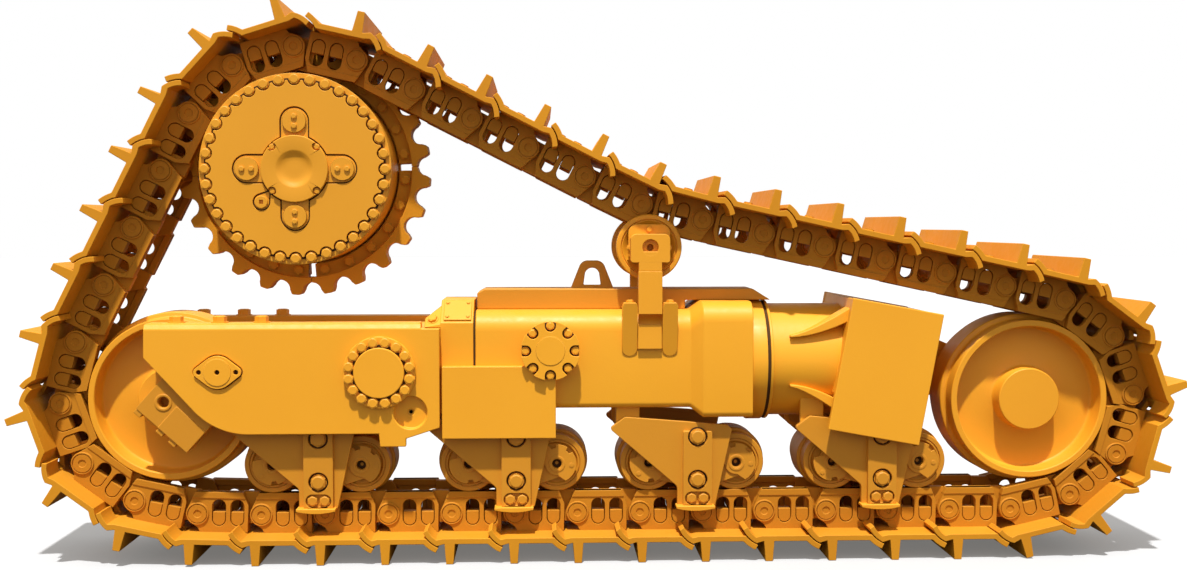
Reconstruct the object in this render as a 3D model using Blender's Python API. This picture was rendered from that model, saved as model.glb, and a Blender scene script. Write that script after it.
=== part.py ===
"""Track group of a large elevated-sprocket crawler: drive wheel, two idlers, sprung rollers, frame and
41-link track. Metres, +Z up, X along the travel direction, Y across the track, ground at Z = 0.
Places along X are given as distances ahead of the rear idler's axle, the datum of the frame."""

import math

import bmesh
import bpy
from mathutils import Matrix

# Clearance left between pieces that touch.
GAP = 0.0003

# Track chain: pin spacing, links, pieces it is modelled in, and the section of one link and its shoe.
PITCH = 0.318
LINKS = 41
SECTIONS = 16
GROUSER_HEIGHT = 0.100
SHOE_THICKNESS = 0.028
SHOE_WIDTH = 0.710
SHOE_TO_PIN = 0.092
PIN_TO_RAIL = 0.111
LINK_THICKNESS = 0.038
LINK_OUTER_FACE = 0.190
LINK_SIDE_GAP = 0.0005
PIN_RADIUS = 0.030
LINK_FACETS = 6
BUSHING_RADIUS = 0.046
BOSS_RADIUS = 0.058
SHOE_LIP = 0.110
SHOE_LIP_RISE = 0.026
FIRST_PIN_AHEAD = 0.241

# Wheels.
REAR_IDLER_X = -2.178
REAR_IDLER_Z = 0.806
FRONT_IDLER_Z = 0.786
IDLER_RADIUS = 0.405
IDLER_FLANGE_RISE = 0.027
IDLER_HUB_RADIUS = 0.160
IDLER_RIM_DEPTH = 0.034
IDLER_WEB_HALF = 0.115
WHEEL_HALF_WIDTH = 0.193
FLANGE_HALF_WIDTH = 0.090
AXLE_RADIUS = 0.060
ROLLER_RADIUS = 0.143
ROLLER_FLANGE_RISE = 0.015
ROLLER_SPREAD = 0.222
ROLLER_AXLE = 0.040
CARRIER_AHEAD = 2.396
CARRIER_RADIUS = 0.090
CARRIER_FLANGE = 0.165
SAG_Z = 1.770
SAG_RADIUS = 1.0
SAG_SLOPE = 19.0
GROUND_BEND = 0.300
GROUND_REAR_AHEAD = 0.206
GROUND_FRONT_BEHIND = 0.090

# Drive wheel.
SPROCKET_AHEAD = 0.659
SPROCKET_Z = 1.950
TEETH = 24
SEGMENTS = 4
TOOTH_RISE = 0.0166
TOOTH_HALF_TIP = 0.020
TOOTH_HALF_WIDTH = 0.062
SEGMENT_STEP = 0.539
SEGMENT_BORE = 0.4725
SEGMENT_SLOT = 0.7
DRUM_RADIUS = 0.462
DRUM_BORE = 0.400
COVER_DEPTH = 0.022
CAP_DEPTH = 0.0324
HUB_FLANGE_RADIUS = 0.530
HUB_FLANGE_BACK = 0.085
SPINDLE_RADIUS = 0.250
SPINDLE_FLANGE = 0.380
SIDE_REACH = 0.385
CAP_RADIUS = 0.163
EAR_RADIUS = 0.065
EAR_REACH = 0.231

# Frame.
PLATE_OUT = 0.345
PLATE_IN = 0.310
FRAME_TOP = 1.192
FRAME_BOTTOM = 0.649
FRAME_END = 1.354
BELLY_Z = 0.740
PIVOT_AHEAD = 1.061
PIVOT_Z = 0.954
PIVOT_RADIUS = 0.120
SADDLE_END = 1.518
TUBE_HALF = 0.280
TUBE_BOTTOM = 0.762
TUBE_TOP = 1.249
TUBE_END = 2.663
HOUSING_HALF = 0.320
HOUSING_BOTTOM = 0.717
HOUSING_TOP = 1.294
HOUSING_END = 2.912
COLLAR_END = 3.019
COLLAR_RADIUS = 0.311
RECOIL_Z = 0.980
RECOIL_RADIUS = 0.290
SPIGOT_RADIUS = 0.200
SPIGOT_START = 2.250
RECOIL_BORE_START = 1.750
CYLINDER_RADIUS = 0.150
ROD_RADIUS = 0.070
BEAM_HALF = 0.120
BEAM_TOP = 1.352
EYE_AHEAD = 2.119
GUARD_AHEAD = 1.927
GUARD_BOTTOM = 0.621
GUARD_TOP = 0.979
GUARD_DEPTH = 0.055
TRUNNION_AHEAD = 1.900
TRUNNION_Z = 1.058
TRUNNION_RADIUS = 0.146
RECOIL_STROKE = 0.080

# Roller bogies: how far each stands ahead, and the arm's shape about its middle.
BOGIES_AHEAD = (0.730, 1.711, 2.6205)
LAST_BOGIE_BEHIND = 0.799
ARM_IN = 0.230
ARM_OUT = 0.262
PAD_OUT = 0.290
CHEEK_IN = 0.196
CHEEK_OUT = 0.226
LUG_IN = 0.198
LUG_OUT = 0.227
LUG_RADIUS = 0.060
ARM_PIVOT = (-0.330, 0.1785)
CARRIAGE_PIVOT = (0.025, -0.0765)
CARRIAGE_PIN = 0.035

# Front yoke, a tilted box behind the front idler.
YOKE_BEHIND = 0.780
YOKE_Z = 0.944
YOKE_LENGTH = 0.466
YOKE_HEIGHT = 0.668
YOKE_TILT = -10.4

PAINT = (0.80, 0.33, 0.026, 1.0)
TRACK_PAINT = (0.70, 0.262, 0.022, 1.0)
STEEL = (0.30, 0.29, 0.28, 1.0)

# Sizes that follow from those above.
PIN_Z = GROUSER_HEIGHT + SHOE_THICKNESS + SHOE_TO_PIN
RAIL_Z = PIN_Z + PIN_TO_RAIL
ROLLER_Z = RAIL_Z + GAP + ROLLER_RADIUS
SPROCKET_PITCH = PITCH / (2 * math.sin(2 * math.pi / TEETH))
IDLER_PITCH = math.hypot(IDLER_RADIUS + GAP + PIN_TO_RAIL, PITCH / 2)
LINK_JOGGLE = LINK_THICKNESS + LINK_SIDE_GAP
SPROCKET_X = REAR_IDLER_X + SPROCKET_AHEAD
CARRIER_X = REAR_IDLER_X + CARRIER_AHEAD


def ahead(distance):
    """X of a place on the frame, from its distance ahead of the rear idler's axle."""
    return REAR_IDLER_X + distance


def bore(radius, steps):
    """Radius of a faceted hole that a faceted shaft turns in with the usual clearance."""
    return (radius + GAP) / math.cos(math.pi / steps)


# Outlines.


def polar(x, z, radius, degrees):
    angle = math.radians(degrees)
    return (x + radius * math.cos(angle), z + radius * math.sin(angle))


def arc(x, z, radius, start, stop, count):
    """Points of an arc, the angles in degrees."""
    return [polar(x, z, radius, start + (stop - start) * i / (count - 1)) for i in range(count)]


def circle(x, z, radius, steps, phase=0.0):
    """A ring of points; phase 0.5 turns it by half a facet."""
    return [polar(x, z, radius, 360 * (i + phase) / steps) for i in range(steps)]


def rectangle(x0, x1, z0, z1):
    return [(x0, z0), (x1, z0), (x1, z1), (x0, z1)]


def tilted(x, z, points, degrees):
    """Points given about the origin, turned and moved to a place."""
    c = math.cos(math.radians(degrees))
    s = math.sin(math.radians(degrees))
    return [(x + c * u - s * w, z + s * u + c * w) for u, w in points]


def rounded(corners, steps=4):
    """Outline from (x, z, radius) corners, each one filleted where its radius isn't 0."""
    outline = []
    for i, (x, z, radius) in enumerate(corners):
        if not radius:
            outline.append((x, z))
            continue
        before = corners[i - 1]
        after = corners[(i + 1) % len(corners)]
        back = math.atan2(before[1] - z, before[0] - x)
        on = math.atan2(after[1] - z, after[0] - x)
        opening = (on - back + math.pi) % (2 * math.pi) - math.pi
        reach = radius / math.sin(abs(opening) / 2)
        cx = x + reach * math.cos(back + opening / 2)
        cz = z + reach * math.sin(back + opening / 2)
        turn = math.copysign(math.pi - abs(opening), opening)
        first = back - math.copysign(math.pi / 2, opening)
        for step in range(steps + 1):
            angle = first - turn * step / steps
            outline.append((cx + radius * math.cos(angle), cz + radius * math.sin(angle)))
    return outline


def tangents(circles):
    """For each circle and the next: the two touching points and the angle of the outward normal.
    The circles are (x, z, radius) in anticlockwise order; a negative radius bends the belt inward."""
    found = []
    for i, (ax, az, ar) in enumerate(circles):
        bx, bz, br = circles[(i + 1) % len(circles)]
        lean = math.asin((ar - br) / math.hypot(bx - ax, bz - az))
        normal = math.atan2(bz - az, bx - ax) + lean - math.pi / 2
        nx = math.cos(normal)
        nz = math.sin(normal)
        found.append(((ax + ar * nx, az + ar * nz), (bx + br * nx, bz + br * nz), normal))
    return found


def belt(circles, step):
    """Closed outline of a belt round the circles, its arcs cut into angles of about one step."""
    sides = tangents(circles)
    outline = []
    for i, (start, _, normal) in enumerate(sides):
        cx, cz, radius = circles[(i + 1) % len(circles)]
        sweep = (sides[(i + 1) % len(sides)][2] - normal) % (2 * math.pi)
        if radius < 0 and sweep > math.pi:
            sweep -= 2 * math.pi
        count = max(1, round(abs(sweep) / step))
        outline.append(start)
        for j in range(count):
            angle = normal + sweep * j / count
            outline.append((cx + radius * math.cos(angle), cz + radius * math.sin(angle)))
    return outline


# Solids.


def solid(points, faces):
    """Closed mesh with its faces turned outward."""
    mesh = bpy.data.meshes.new("solid")
    mesh.from_pydata(points, [], faces)
    work = bmesh.new()
    work.from_mesh(mesh)
    bmesh.ops.recalc_face_normals(work, faces=work.faces)
    work.to_mesh(mesh)
    work.free()
    return mesh


def stacked(rings):
    """Solid through rings of as many points each, closed at both ends."""
    count = len(rings[0])
    faces = [list(range(count)), list(range((len(rings) - 1) * count, len(rings) * count))]
    for k in range(len(rings) - 1):
        for i in range(count):
            j = (i + 1) % count
            faces.append([k * count + i, k * count + j, (k + 1) * count + j, (k + 1) * count + i])
    return solid([point for ring in rings for point in ring], faces)


def across(outline, y0, y1):
    """Prism of an (x, z) outline between two values of Y."""
    return stacked([[(x, y, z) for x, z in outline] for y in (y0, y1)])


def along(outline, x0, x1):
    """Prism of a (y, z) outline between two values of X."""
    return stacked([[(x, y, z) for y, z in outline] for x in (x0, x1)])


def both_sides(outline, inner, outer):
    """The same prism on the near and the far side."""
    return [across(outline, -outer, -inner), across(outline, inner, outer)]


def box(x0, x1, y0, y1, z0, z1):
    return across(rectangle(x0, x1, z0, z1), y0, y1)


def revolved(x, z, profile, steps, phase=0.0):
    """Ring turned about an axis along Y from a closed profile of (radius, y)."""
    points = []
    faces = []
    count = len(profile)
    for radius, y in profile:
        points += [(px, y, pz) for px, pz in circle(x, z, radius, steps, phase)]
    for k in range(count):
        a = k * steps
        b = (k + 1) % count * steps
        for i in range(steps):
            j = (i + 1) % steps
            faces.append([a + i, a + j, b + j, b + i])
    return solid(points, faces)


def shaft(x, z, radius, y0, y1, steps):
    """Round bar along Y, turned half a facet from the holes it runs in."""
    return across(circle(x, z, radius, steps, 0.5), y0, y1)


def hole(x, z, radius, y0, y1, steps):
    return across(circle(x, z, radius, steps), y0, y1)


def fused(parts, cutters=()):
    """One mesh: the parts joined, less the cutters."""
    collection = bpy.context.scene.collection
    body = bpy.data.objects.new("body", parts[0])
    collection.objects.link(body)
    helpers = [body]
    for operation, others in (("UNION", parts[1:]), ("DIFFERENCE", cutters)):
        for other in others:
            helper = bpy.data.objects.new("helper", other)
            helper.hide_render = True
            helper.display_type = "WIRE"
            collection.objects.link(helper)
            helpers.append(helper)
            modifier = body.modifiers.new(operation.lower(), "BOOLEAN")
            modifier.operation = operation
            modifier.solver = "EXACT"
            modifier.object = helper
    graph = bpy.context.evaluated_depsgraph_get()
    mesh = bpy.data.meshes.new_from_object(body.evaluated_get(graph))
    for helper in helpers:
        bpy.data.objects.remove(helper)
    return mesh


def finish_paint(name, colour, metallic, roughness):
    material = bpy.data.materials.new(name)
    material.use_nodes = True
    shader = material.node_tree.nodes["Principled BSDF"]
    shader.inputs["Base Color"].default_value = colour
    shader.inputs["Metallic"].default_value = metallic
    shader.inputs["Roughness"].default_value = roughness
    return material


def piece(name, mesh, colour=PAINT, axle=(0.0, 0.0), parent=None):
    """Named object whose origin is on its axle, an (x, z) place; a child hangs from its parent."""
    x, z = axle
    mesh.name = name
    mesh.transform(Matrix.Translation((-x, 0, -z)))
    mesh.materials.clear()
    metallic = 0.8 if colour == STEEL else 0.0
    mesh.materials.append(finish_paint(name, colour, metallic, 0.55))
    mesh.polygons.foreach_set("use_smooth", [True] * len(mesh.polygons))
    mesh.set_sharp_from_angle(angle=math.radians(32))
    made = bpy.data.objects.new(name, mesh)
    made["axle"] = [x, z]
    bpy.context.scene.collection.objects.link(made)
    made.location = (x, 0, z)
    if parent:
        made.parent = parent
        px, pz = parent["axle"]
        made.location = (x - px, 0, z - pz)
    return made


# Track chain.


def chain_circles(front_x):
    """Circles that the pins run round, in anticlockwise order from the rear end of the ground run."""
    slope = math.radians(SAG_SLOPE)
    sag_x = CARRIER_X + SAG_RADIUS * math.sin(slope)
    sag_z = SAG_Z + SAG_RADIUS * math.cos(slope)
    return [
        (ahead(GROUND_REAR_AHEAD), PIN_Z + GROUND_BEND, GROUND_BEND),
        (front_x - GROUND_FRONT_BEHIND, PIN_Z + GROUND_BEND, GROUND_BEND),
        (front_x, FRONT_IDLER_Z, IDLER_PITCH),
        (sag_x, sag_z, -SAG_RADIUS),
        (SPROCKET_X, SPROCKET_Z, SPROCKET_PITCH),
        (REAR_IDLER_X, REAR_IDLER_Z, IDLER_PITCH),
    ]


def next_pin(path, pin, place):
    """The first spot on the path one pitch from this pin, and how far along the path it lies."""
    index = int(place)
    while math.dist(path[(index + 1) % len(path)], pin) < PITCH:
        index += 1
    ax, az = path[index % len(path)]
    bx, bz = path[(index + 1) % len(path)]
    low = 0.0
    high = 1.0
    for _ in range(40):
        share = (low + high) / 2
        spot = (ax + (bx - ax) * share, az + (bz - az) * share)
        if math.dist(spot, pin) < PITCH:
            low = share
        else:
            high = share
    return spot, index + low


def wrap(front_x):
    """Pins of the whole chain, and the number of path steps by which it is too long for its loop."""
    corners = belt(chain_circles(front_x), math.radians(0.25))
    corners = [(corners[0][0] + FIRST_PIN_AHEAD, corners[0][1])] + corners[1:] + corners[:1]
    path = []
    for i, (ax, az) in enumerate(corners):
        bx, bz = corners[(i + 1) % len(corners)]
        count = max(1, round(math.dist((ax, az), (bx, bz)) / 0.005))
        path += [(ax + (bx - ax) * j / count, az + (bz - az) * j / count) for j in range(count)]
    pins = [path[0]]
    place = 0.0
    for _ in range(LINKS):
        spot, place = next_pin(path, pins[-1], place)
        pins.append(spot)
    return pins[:-1], place - len(path)


def tensioned():
    """Front idler X at which the chain closes on itself, as the grease-filled adjuster sets it."""
    low = ahead(3.6)
    high = ahead(5.2)
    for _ in range(50):
        middle = (low + high) / 2
        if wrap(middle)[1] > 0:
            low = middle
        else:
            high = middle
    return middle


FRONT_X = tensioned()
PINS = wrap(FRONT_X)[0]
BOGIE_X = [ahead(distance) for distance in BOGIES_AHEAD] + [FRONT_X - LAST_BOGIE_BEHIND]


def strand_slab(side, joggle_start, joggle_end):
    """One side of a link, in link coordinates: u from pin to pin, w toward the rail.
    It lies outside at its pin end and steps inward by one thickness at its bushing end."""
    foot = -SHOE_TO_PIN - SHOE_THICKNESS / 3
    sill = PIN_TO_RAIL * 0.14
    head = PIN_TO_RAIL * 0.66
    heel = PITCH * 0.52
    end = PITCH + BOSS_RADIUS
    points = [
        (-BOSS_RADIUS * 0.8, foot),
        (-BOSS_RADIUS, 0.0),
        (-BOSS_RADIUS * 0.35, PIN_TO_RAIL),
        (joggle_start, PIN_TO_RAIL),
        (joggle_end, PIN_TO_RAIL),
        (PITCH - BOSS_RADIUS * 0.35, PIN_TO_RAIL),
        (end, BOSS_RADIUS * 0.15),
        (PITCH + BOSS_RADIUS * 0.55, -BOSS_RADIUS * 0.8),
        (joggle_end, -BOSS_RADIUS * 0.68),
        (heel + 0.014, -BOSS_RADIUS * 0.52),
        (heel, foot),
        (joggle_start, foot),
        (joggle_start, sill),
        (joggle_end, sill),
        (joggle_end - 0.012, head),
        (joggle_start + 0.012, head),
    ]
    faces = [
        [0, 11, 12, 3, 2, 1],
        [11, 10, 9, 8, 13, 12],
        [12, 15, 14, 13, 4, 3],
        [8, 7, 6, 5, 4, 13],
    ]
    layers = []
    for face in (LINK_OUTER_FACE, LINK_OUTER_FACE - LINK_THICKNESS):
        for u, w in points:
            share = min(max((u - joggle_start) / (joggle_end - joggle_start), 0.0), 1.0)
            layers.append((u, side * (face - LINK_JOGGLE * share), w))
    count = len(points)
    rim = [(i, (i + 1) % 12) for i in range(12)] + [(12, 13), (13, 14), (14, 15), (15, 12)]
    walls = [[a, b, b + count, a + count] for a, b in rim]
    backs = [[i + count for i in face] for face in faces]
    return solid(layers, faces + backs + walls)


def shoe_solid():
    """Shoe of one link: a plate with its cleat under the pin, one end lifted and the other folded down."""
    top = -SHOE_TO_PIN
    base = top - SHOE_THICKNESS
    tip = base - GROUSER_HEIGHT
    clear = math.hypot(SHOE_LIP, base + SHOE_LIP_RISE) + 0.005
    fold = math.sqrt(clear**2 - top**2)
    profile = [
        (-SHOE_LIP, base + SHOE_LIP_RISE),
        (-SHOE_LIP / 2, base),
        (-0.026, base),
        (-0.018, tip),
        (0.018, tip),
        (0.026, base),
        (PITCH - fold - 0.009, base),
        (PITCH - clear * 0.47 - 0.012, base - 0.037),
        (PITCH - clear * 0.47, -clear * 0.883),
        (PITCH - fold, top),
        (-SHOE_LIP / 2, top),
        (-SHOE_LIP, top + SHOE_LIP_RISE),
    ]
    return across(profile, -SHOE_WIDTH / 2, SHOE_WIDTH / 2)


def link_mesh(first, last):
    """One link with its shoe, bushing and pin. The first link of a section has a whole pin, which runs in
    the bushing of the section before; the pins inside a section only join its links."""
    inner = LINK_OUTER_FACE - LINK_JOGGLE
    parts = [shoe_solid()]
    parts += [strand_slab(side, PITCH * 0.235, PITCH * 0.73) for side in (-1, 1)]
    reach = inner - LINK_THICKNESS / 2
    parts.append(hole(PITCH, 0, BUSHING_RADIUS, -reach, reach, LINK_FACETS))
    held = LINK_OUTER_FACE - LINK_THICKNESS / 2
    if first:
        parts.append(shaft(0, 0, PIN_RADIUS, -held, held, LINK_FACETS))
    else:
        parts.append(shaft(0, 0, PIN_RADIUS, -held, -reach, 4))
    cutters = []
    if last:
        opening = bore(PIN_RADIUS, LINK_FACETS)
        cutters.append(hole(PITCH, 0, opening, -inner - 0.01, inner + 0.01, LINK_FACETS))
    return fused(parts, cutters)


def placed(mesh, pin, following):
    """A copy of a link at its place on the loop."""
    lean = math.atan2(following[1] - pin[1], following[0] - pin[0])
    moved = mesh.copy()
    moved.transform(Matrix.Translation((pin[0], 0, pin[1])) @ Matrix.Rotation(-lean, 4, "Y"))
    return moved


def build_track():
    """The loop in sections of two or three links, each a single solid."""
    kinds = {}
    for index in range(SECTIONS):
        first = index * LINKS // SECTIONS
        last = (index + 1) * LINKS // SECTIONS - 1
        links = []
        for k in range(first, last + 1):
            kind = (k == first, k == last)
            if kind not in kinds:
                kinds[kind] = link_mesh(*kind)
            links.append(placed(kinds[kind], PINS[k], PINS[(k + 1) % LINKS]))
        piece(f"track_{index + 1:02d}", fused(links), TRACK_PAINT)


# Wheels.


def wheel_profile(radius, rise, bore_radius):
    """Plain roller: two treads and a raised band between them."""
    half = WHEEL_HALF_WIDTH
    band = FLANGE_HALF_WIDTH
    return [
        (bore_radius, -half),
        (radius, -half),
        (radius, -band - rise / 2),
        (radius + rise, -band),
        (radius + rise, band),
        (radius, band + rise / 2),
        (radius, half),
        (bore_radius, half),
    ]


def idler(x, z, steps=24, blind=False):
    """Dished wheel; a blind one keeps its near face closed over the end of its axle."""
    half = WHEEL_HALF_WIDTH
    web = IDLER_WEB_HALF
    rim = IDLER_RADIUS - IDLER_RIM_DEPTH
    hub = IDLER_HUB_RADIUS
    outer = wheel_profile(IDLER_RADIUS, IDLER_FLANGE_RISE, 0.0)[1:-1]
    opening = bore(AXLE_RADIUS, steps)
    profile = [(opening, -half), (hub, -half), (hub, -web), (rim, -web), (rim, -half)]
    profile += outer + [(rim, half), (rim, web), (hub, web), (hub, half), (opening, half)]
    wheel = revolved(x, z, profile, steps)
    if blind:
        wheel = fused([wheel, hole(x, z, opening + 0.02, -half + 0.002, -half + 0.03, steps)])
    return wheel


def sprocket_outline(start):
    """Outer edge of one toothed segment, from a pocket at the start angle to the one a quarter on."""
    pocket = (BUSHING_RADIUS + GAP) / math.cos(math.radians(20))
    step = 360 / TEETH
    per_segment = TEETH // SEGMENTS
    tip = SPROCKET_PITCH + TOOTH_RISE
    lean = math.degrees(TOOTH_HALF_TIP / tip)
    points = []
    for k in range(per_segment + 1):
        angle = start + k * step
        px, pz = polar(SPROCKET_X, SPROCKET_Z, SPROCKET_PITCH, angle)
        swing = (-80, -40, 0, 40, 80)
        if k == 0:
            swing = (40, 80)
            points.append(polar(SPROCKET_X, SPROCKET_Z, SPROCKET_PITCH - pocket, angle + SEGMENT_SLOT))
        if k == per_segment:
            swing = (-80, -40)
        points += [polar(px, pz, pocket, angle + 180 - turn) for turn in swing]
        if k < per_segment:
            middle = angle + step / 2
            points.append(polar(SPROCKET_X, SPROCKET_Z, tip, middle - lean))
            points.append(polar(SPROCKET_X, SPROCKET_Z, tip, middle + lean))
    last = start + per_segment * step
    points.append(polar(SPROCKET_X, SPROCKET_Z, SPROCKET_PITCH - pocket, last - SEGMENT_SLOT))
    return points


def sprocket_segment(start):
    """Toothed ring piece with a thinner bolting flange inside it."""
    stop = start + 360 / SEGMENTS
    low = start + SEGMENT_SLOT
    high = stop - SEGMENT_SLOT
    teeth = sprocket_outline(start) + arc(SPROCKET_X, SPROCKET_Z, SEGMENT_STEP, high, low, 7)
    flange = arc(SPROCKET_X, SPROCKET_Z, SEGMENT_STEP + 0.012, low + 0.1, high - 0.1, 7)
    flange += arc(SPROCKET_X, SPROCKET_Z, SEGMENT_BORE, high, low, 7)
    return fused(
        [
            across(teeth, -TOOTH_HALF_WIDTH, TOOTH_HALF_WIDTH),
            across(flange, -TOOTH_HALF_WIDTH / 3, TOOTH_HALF_WIDTH - 0.017),
        ]
    )


def build_drive():
    x = SPROCKET_X
    z = SPROCKET_Z
    seat = TOOTH_HALF_WIDTH - 0.017 + GAP
    cap_seat = -SIDE_REACH + CAP_DEPTH
    cover_seat = cap_seat + GAP + COVER_DEPTH
    drum_near = cover_seat + GAP
    steps = 28
    opening = bore(SPINDLE_RADIUS, steps)
    drum = [
        (DRUM_RADIUS, drum_near),
        (DRUM_RADIUS, seat),
        (HUB_FLANGE_RADIUS, seat),
        (HUB_FLANGE_RADIUS, HUB_FLANGE_BACK),
        (opening, HUB_FLANGE_BACK),
        (opening, seat - 0.015),
        (DRUM_BORE, seat - 0.015),
        (DRUM_BORE, drum_near),
    ]
    hub = piece("drive_hub", revolved(x, z, drum, steps), axle=(x, z))
    cover = shaft(x, z, DRUM_RADIUS + 0.004, cover_seat - COVER_DEPTH, cover_seat, steps)
    piece("hub_cover", cover, axle=(x, z), parent=hub)
    ear_top = cap_seat - CAP_DEPTH * 0.55
    ears = [(x - EAR_REACH, z, EAR_RADIUS), (x + EAR_REACH, z, EAR_RADIUS)]
    posts = [(x, z - EAR_REACH, EAR_RADIUS), (x, z + EAR_REACH, EAR_RADIUS)]
    cap = fused(
        [
            across(belt(ears, math.radians(36)), ear_top, cap_seat),
            across(belt(posts, math.radians(36)), ear_top + 0.0005, cap_seat - 0.0005),
            hole(x, z, CAP_RADIUS, -SIDE_REACH, cap_seat - 0.001, 20),
        ],
        [hole(x, z, CAP_RADIUS / 2, -SIDE_REACH - 0.01, -SIDE_REACH + CAP_DEPTH * 0.37, 12)],
    )
    piece("hub_cap", cap, axle=(x, z), parent=hub)
    pin = next(p for p in PINS if math.dist(p, (x, z)) < SPROCKET_PITCH + 0.001)
    start = math.degrees(math.atan2(pin[1] - z, pin[0] - x)) + 360 / TEETH
    for k in range(SEGMENTS):
        made = sprocket_segment(start + 360 / SEGMENTS * k)
        piece(f"sprocket_segment_{k + 1}", made, axle=(x, z), parent=hub)
    spindle = fused(
        [
            shaft(x, z, SPINDLE_RADIUS, -0.10, SIDE_REACH - 0.02, steps),
            hole(x, z, SPINDLE_FLANGE, SIDE_REACH - 0.07, SIDE_REACH, steps),
        ]
    )
    piece("spindle", spindle)


def build_rear_idler():
    x = REAR_IDLER_X
    z = REAR_IDLER_Z
    wheel = idler(x, z)
    piece("rear_idler", wheel, axle=(x, z))
    block = tilted(x, z, rectangle(-0.083, 0.250, -0.112, 0.190), -42)
    inner = WHEEL_HALF_WIDTH + 0.012
    outer = PLATE_IN - GAP
    carrier = fused(
        both_sides(block, inner, outer) + [shaft(x, z, AXLE_RADIUS, -inner - 0.05, inner + 0.05, 12)],
        [hole(x, z, 0.038, y - 0.03, y + 0.03, 12) for y in (-outer, outer)],
    )
    piece("rear_idler_carrier", carrier)


# Roller bogies.


def pivot_of(index):
    """Place of the pin that a bogie's arm swings on."""
    return (BOGIE_X[index] + ARM_PIVOT[0], ROLLER_Z + ARM_PIVOT[1])


def lug_solids(index, x0, x1, top):
    """Pair of eyes that hang from the frame and carry a bogie's arm, and the hole through them."""
    px, pz = pivot_of(index)
    shoulder = pz + LUG_RADIUS * 0.75
    eye = arc(px, pz, LUG_RADIUS, 180, 360, 6)
    outline = [(x0, top), (x0, shoulder)] + eye + [(x1, shoulder), (x1, top)]
    cutter = hole(px, pz, bore(ROLLER_AXLE, 10), -LUG_OUT - 0.02, LUG_OUT + 0.02, 10)
    return both_sides(outline, LUG_IN, LUG_OUT), cutter


def build_bogie(index, parent=None):
    """A swinging arm with its wear pads, and the level carriage with two rollers that hangs in it."""
    x = BOGIE_X[index]
    z = ROLLER_Z
    px, pz = pivot_of(index)
    cx = x + CARRIAGE_PIVOT[0]
    cz = z + CARRIAGE_PIVOT[1]
    arm = [
        (x - 0.345, z + 0.240),
        (x - 0.424, z + 0.182),
        (x - 0.082, z - 0.112),
        (x - 0.082, z - 0.208),
        (x + 0.110, z - 0.208),
        (x + 0.194, z + 0.175),
        (x + 0.172, z + 0.198),
    ]
    pad = rectangle(cx - 0.080, cx + 0.066, z - 0.204, z + 0.171)
    lip = rectangle(x - 0.088, x + 0.104, z - 0.226, z - 0.203)
    plates = both_sides(arm, ARM_IN, ARM_OUT) + both_sides(pad, ARM_OUT - 0.004, PAD_OUT)
    plates += both_sides(lip, ARM_IN + 0.004, PAD_OUT + 0.024)
    held = (ARM_IN + ARM_OUT) / 2
    pins = [
        shaft(cx, cz, CARRIAGE_PIN, -held, held, 10),
        shaft(px, pz, ROLLER_AXLE, -held, -CHEEK_IN, 10),
        shaft(px, pz, ROLLER_AXLE, CHEEK_IN, held, 10),
    ]
    swing = piece(f"bogie_{index + 1}", fused(plates + pins), axle=(px, pz), parent=parent)
    rollers = [(x - ROLLER_SPREAD, z), (x + ROLLER_SPREAD, z)]
    hub = (cx, cz, 0.058)
    cheek = belt([(*rollers[0], 0.070), hub, (*rollers[1], 0.070)], math.radians(40))
    eyes = [shaft(rx, rz, ROLLER_AXLE, -CHEEK_IN - 0.015, CHEEK_IN + 0.015, 8) for rx, rz in rollers]
    eyes.append(hole(cx, cz, 0.055, -CHEEK_IN - 0.015, CHEEK_IN + 0.015, 10))
    carriage = fused(
        both_sides(cheek, CHEEK_IN, CHEEK_OUT) + eyes,
        [hole(cx, cz, bore(CARRIAGE_PIN, 10), -CHEEK_OUT - 0.02, CHEEK_OUT + 0.02, 10)],
    )
    frame = piece(f"carriage_{index + 1}", carriage, axle=(cx, cz), parent=swing)
    for k, (rx, rz) in enumerate(rollers):
        profile = wheel_profile(ROLLER_RADIUS, ROLLER_FLANGE_RISE, bore(ROLLER_AXLE, 16))
        wheel = revolved(rx, rz, profile, 16)
        piece(f"roller_{2 * index + k + 1}", wheel, axle=(rx, rz), parent=frame)


# Frame.


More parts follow.
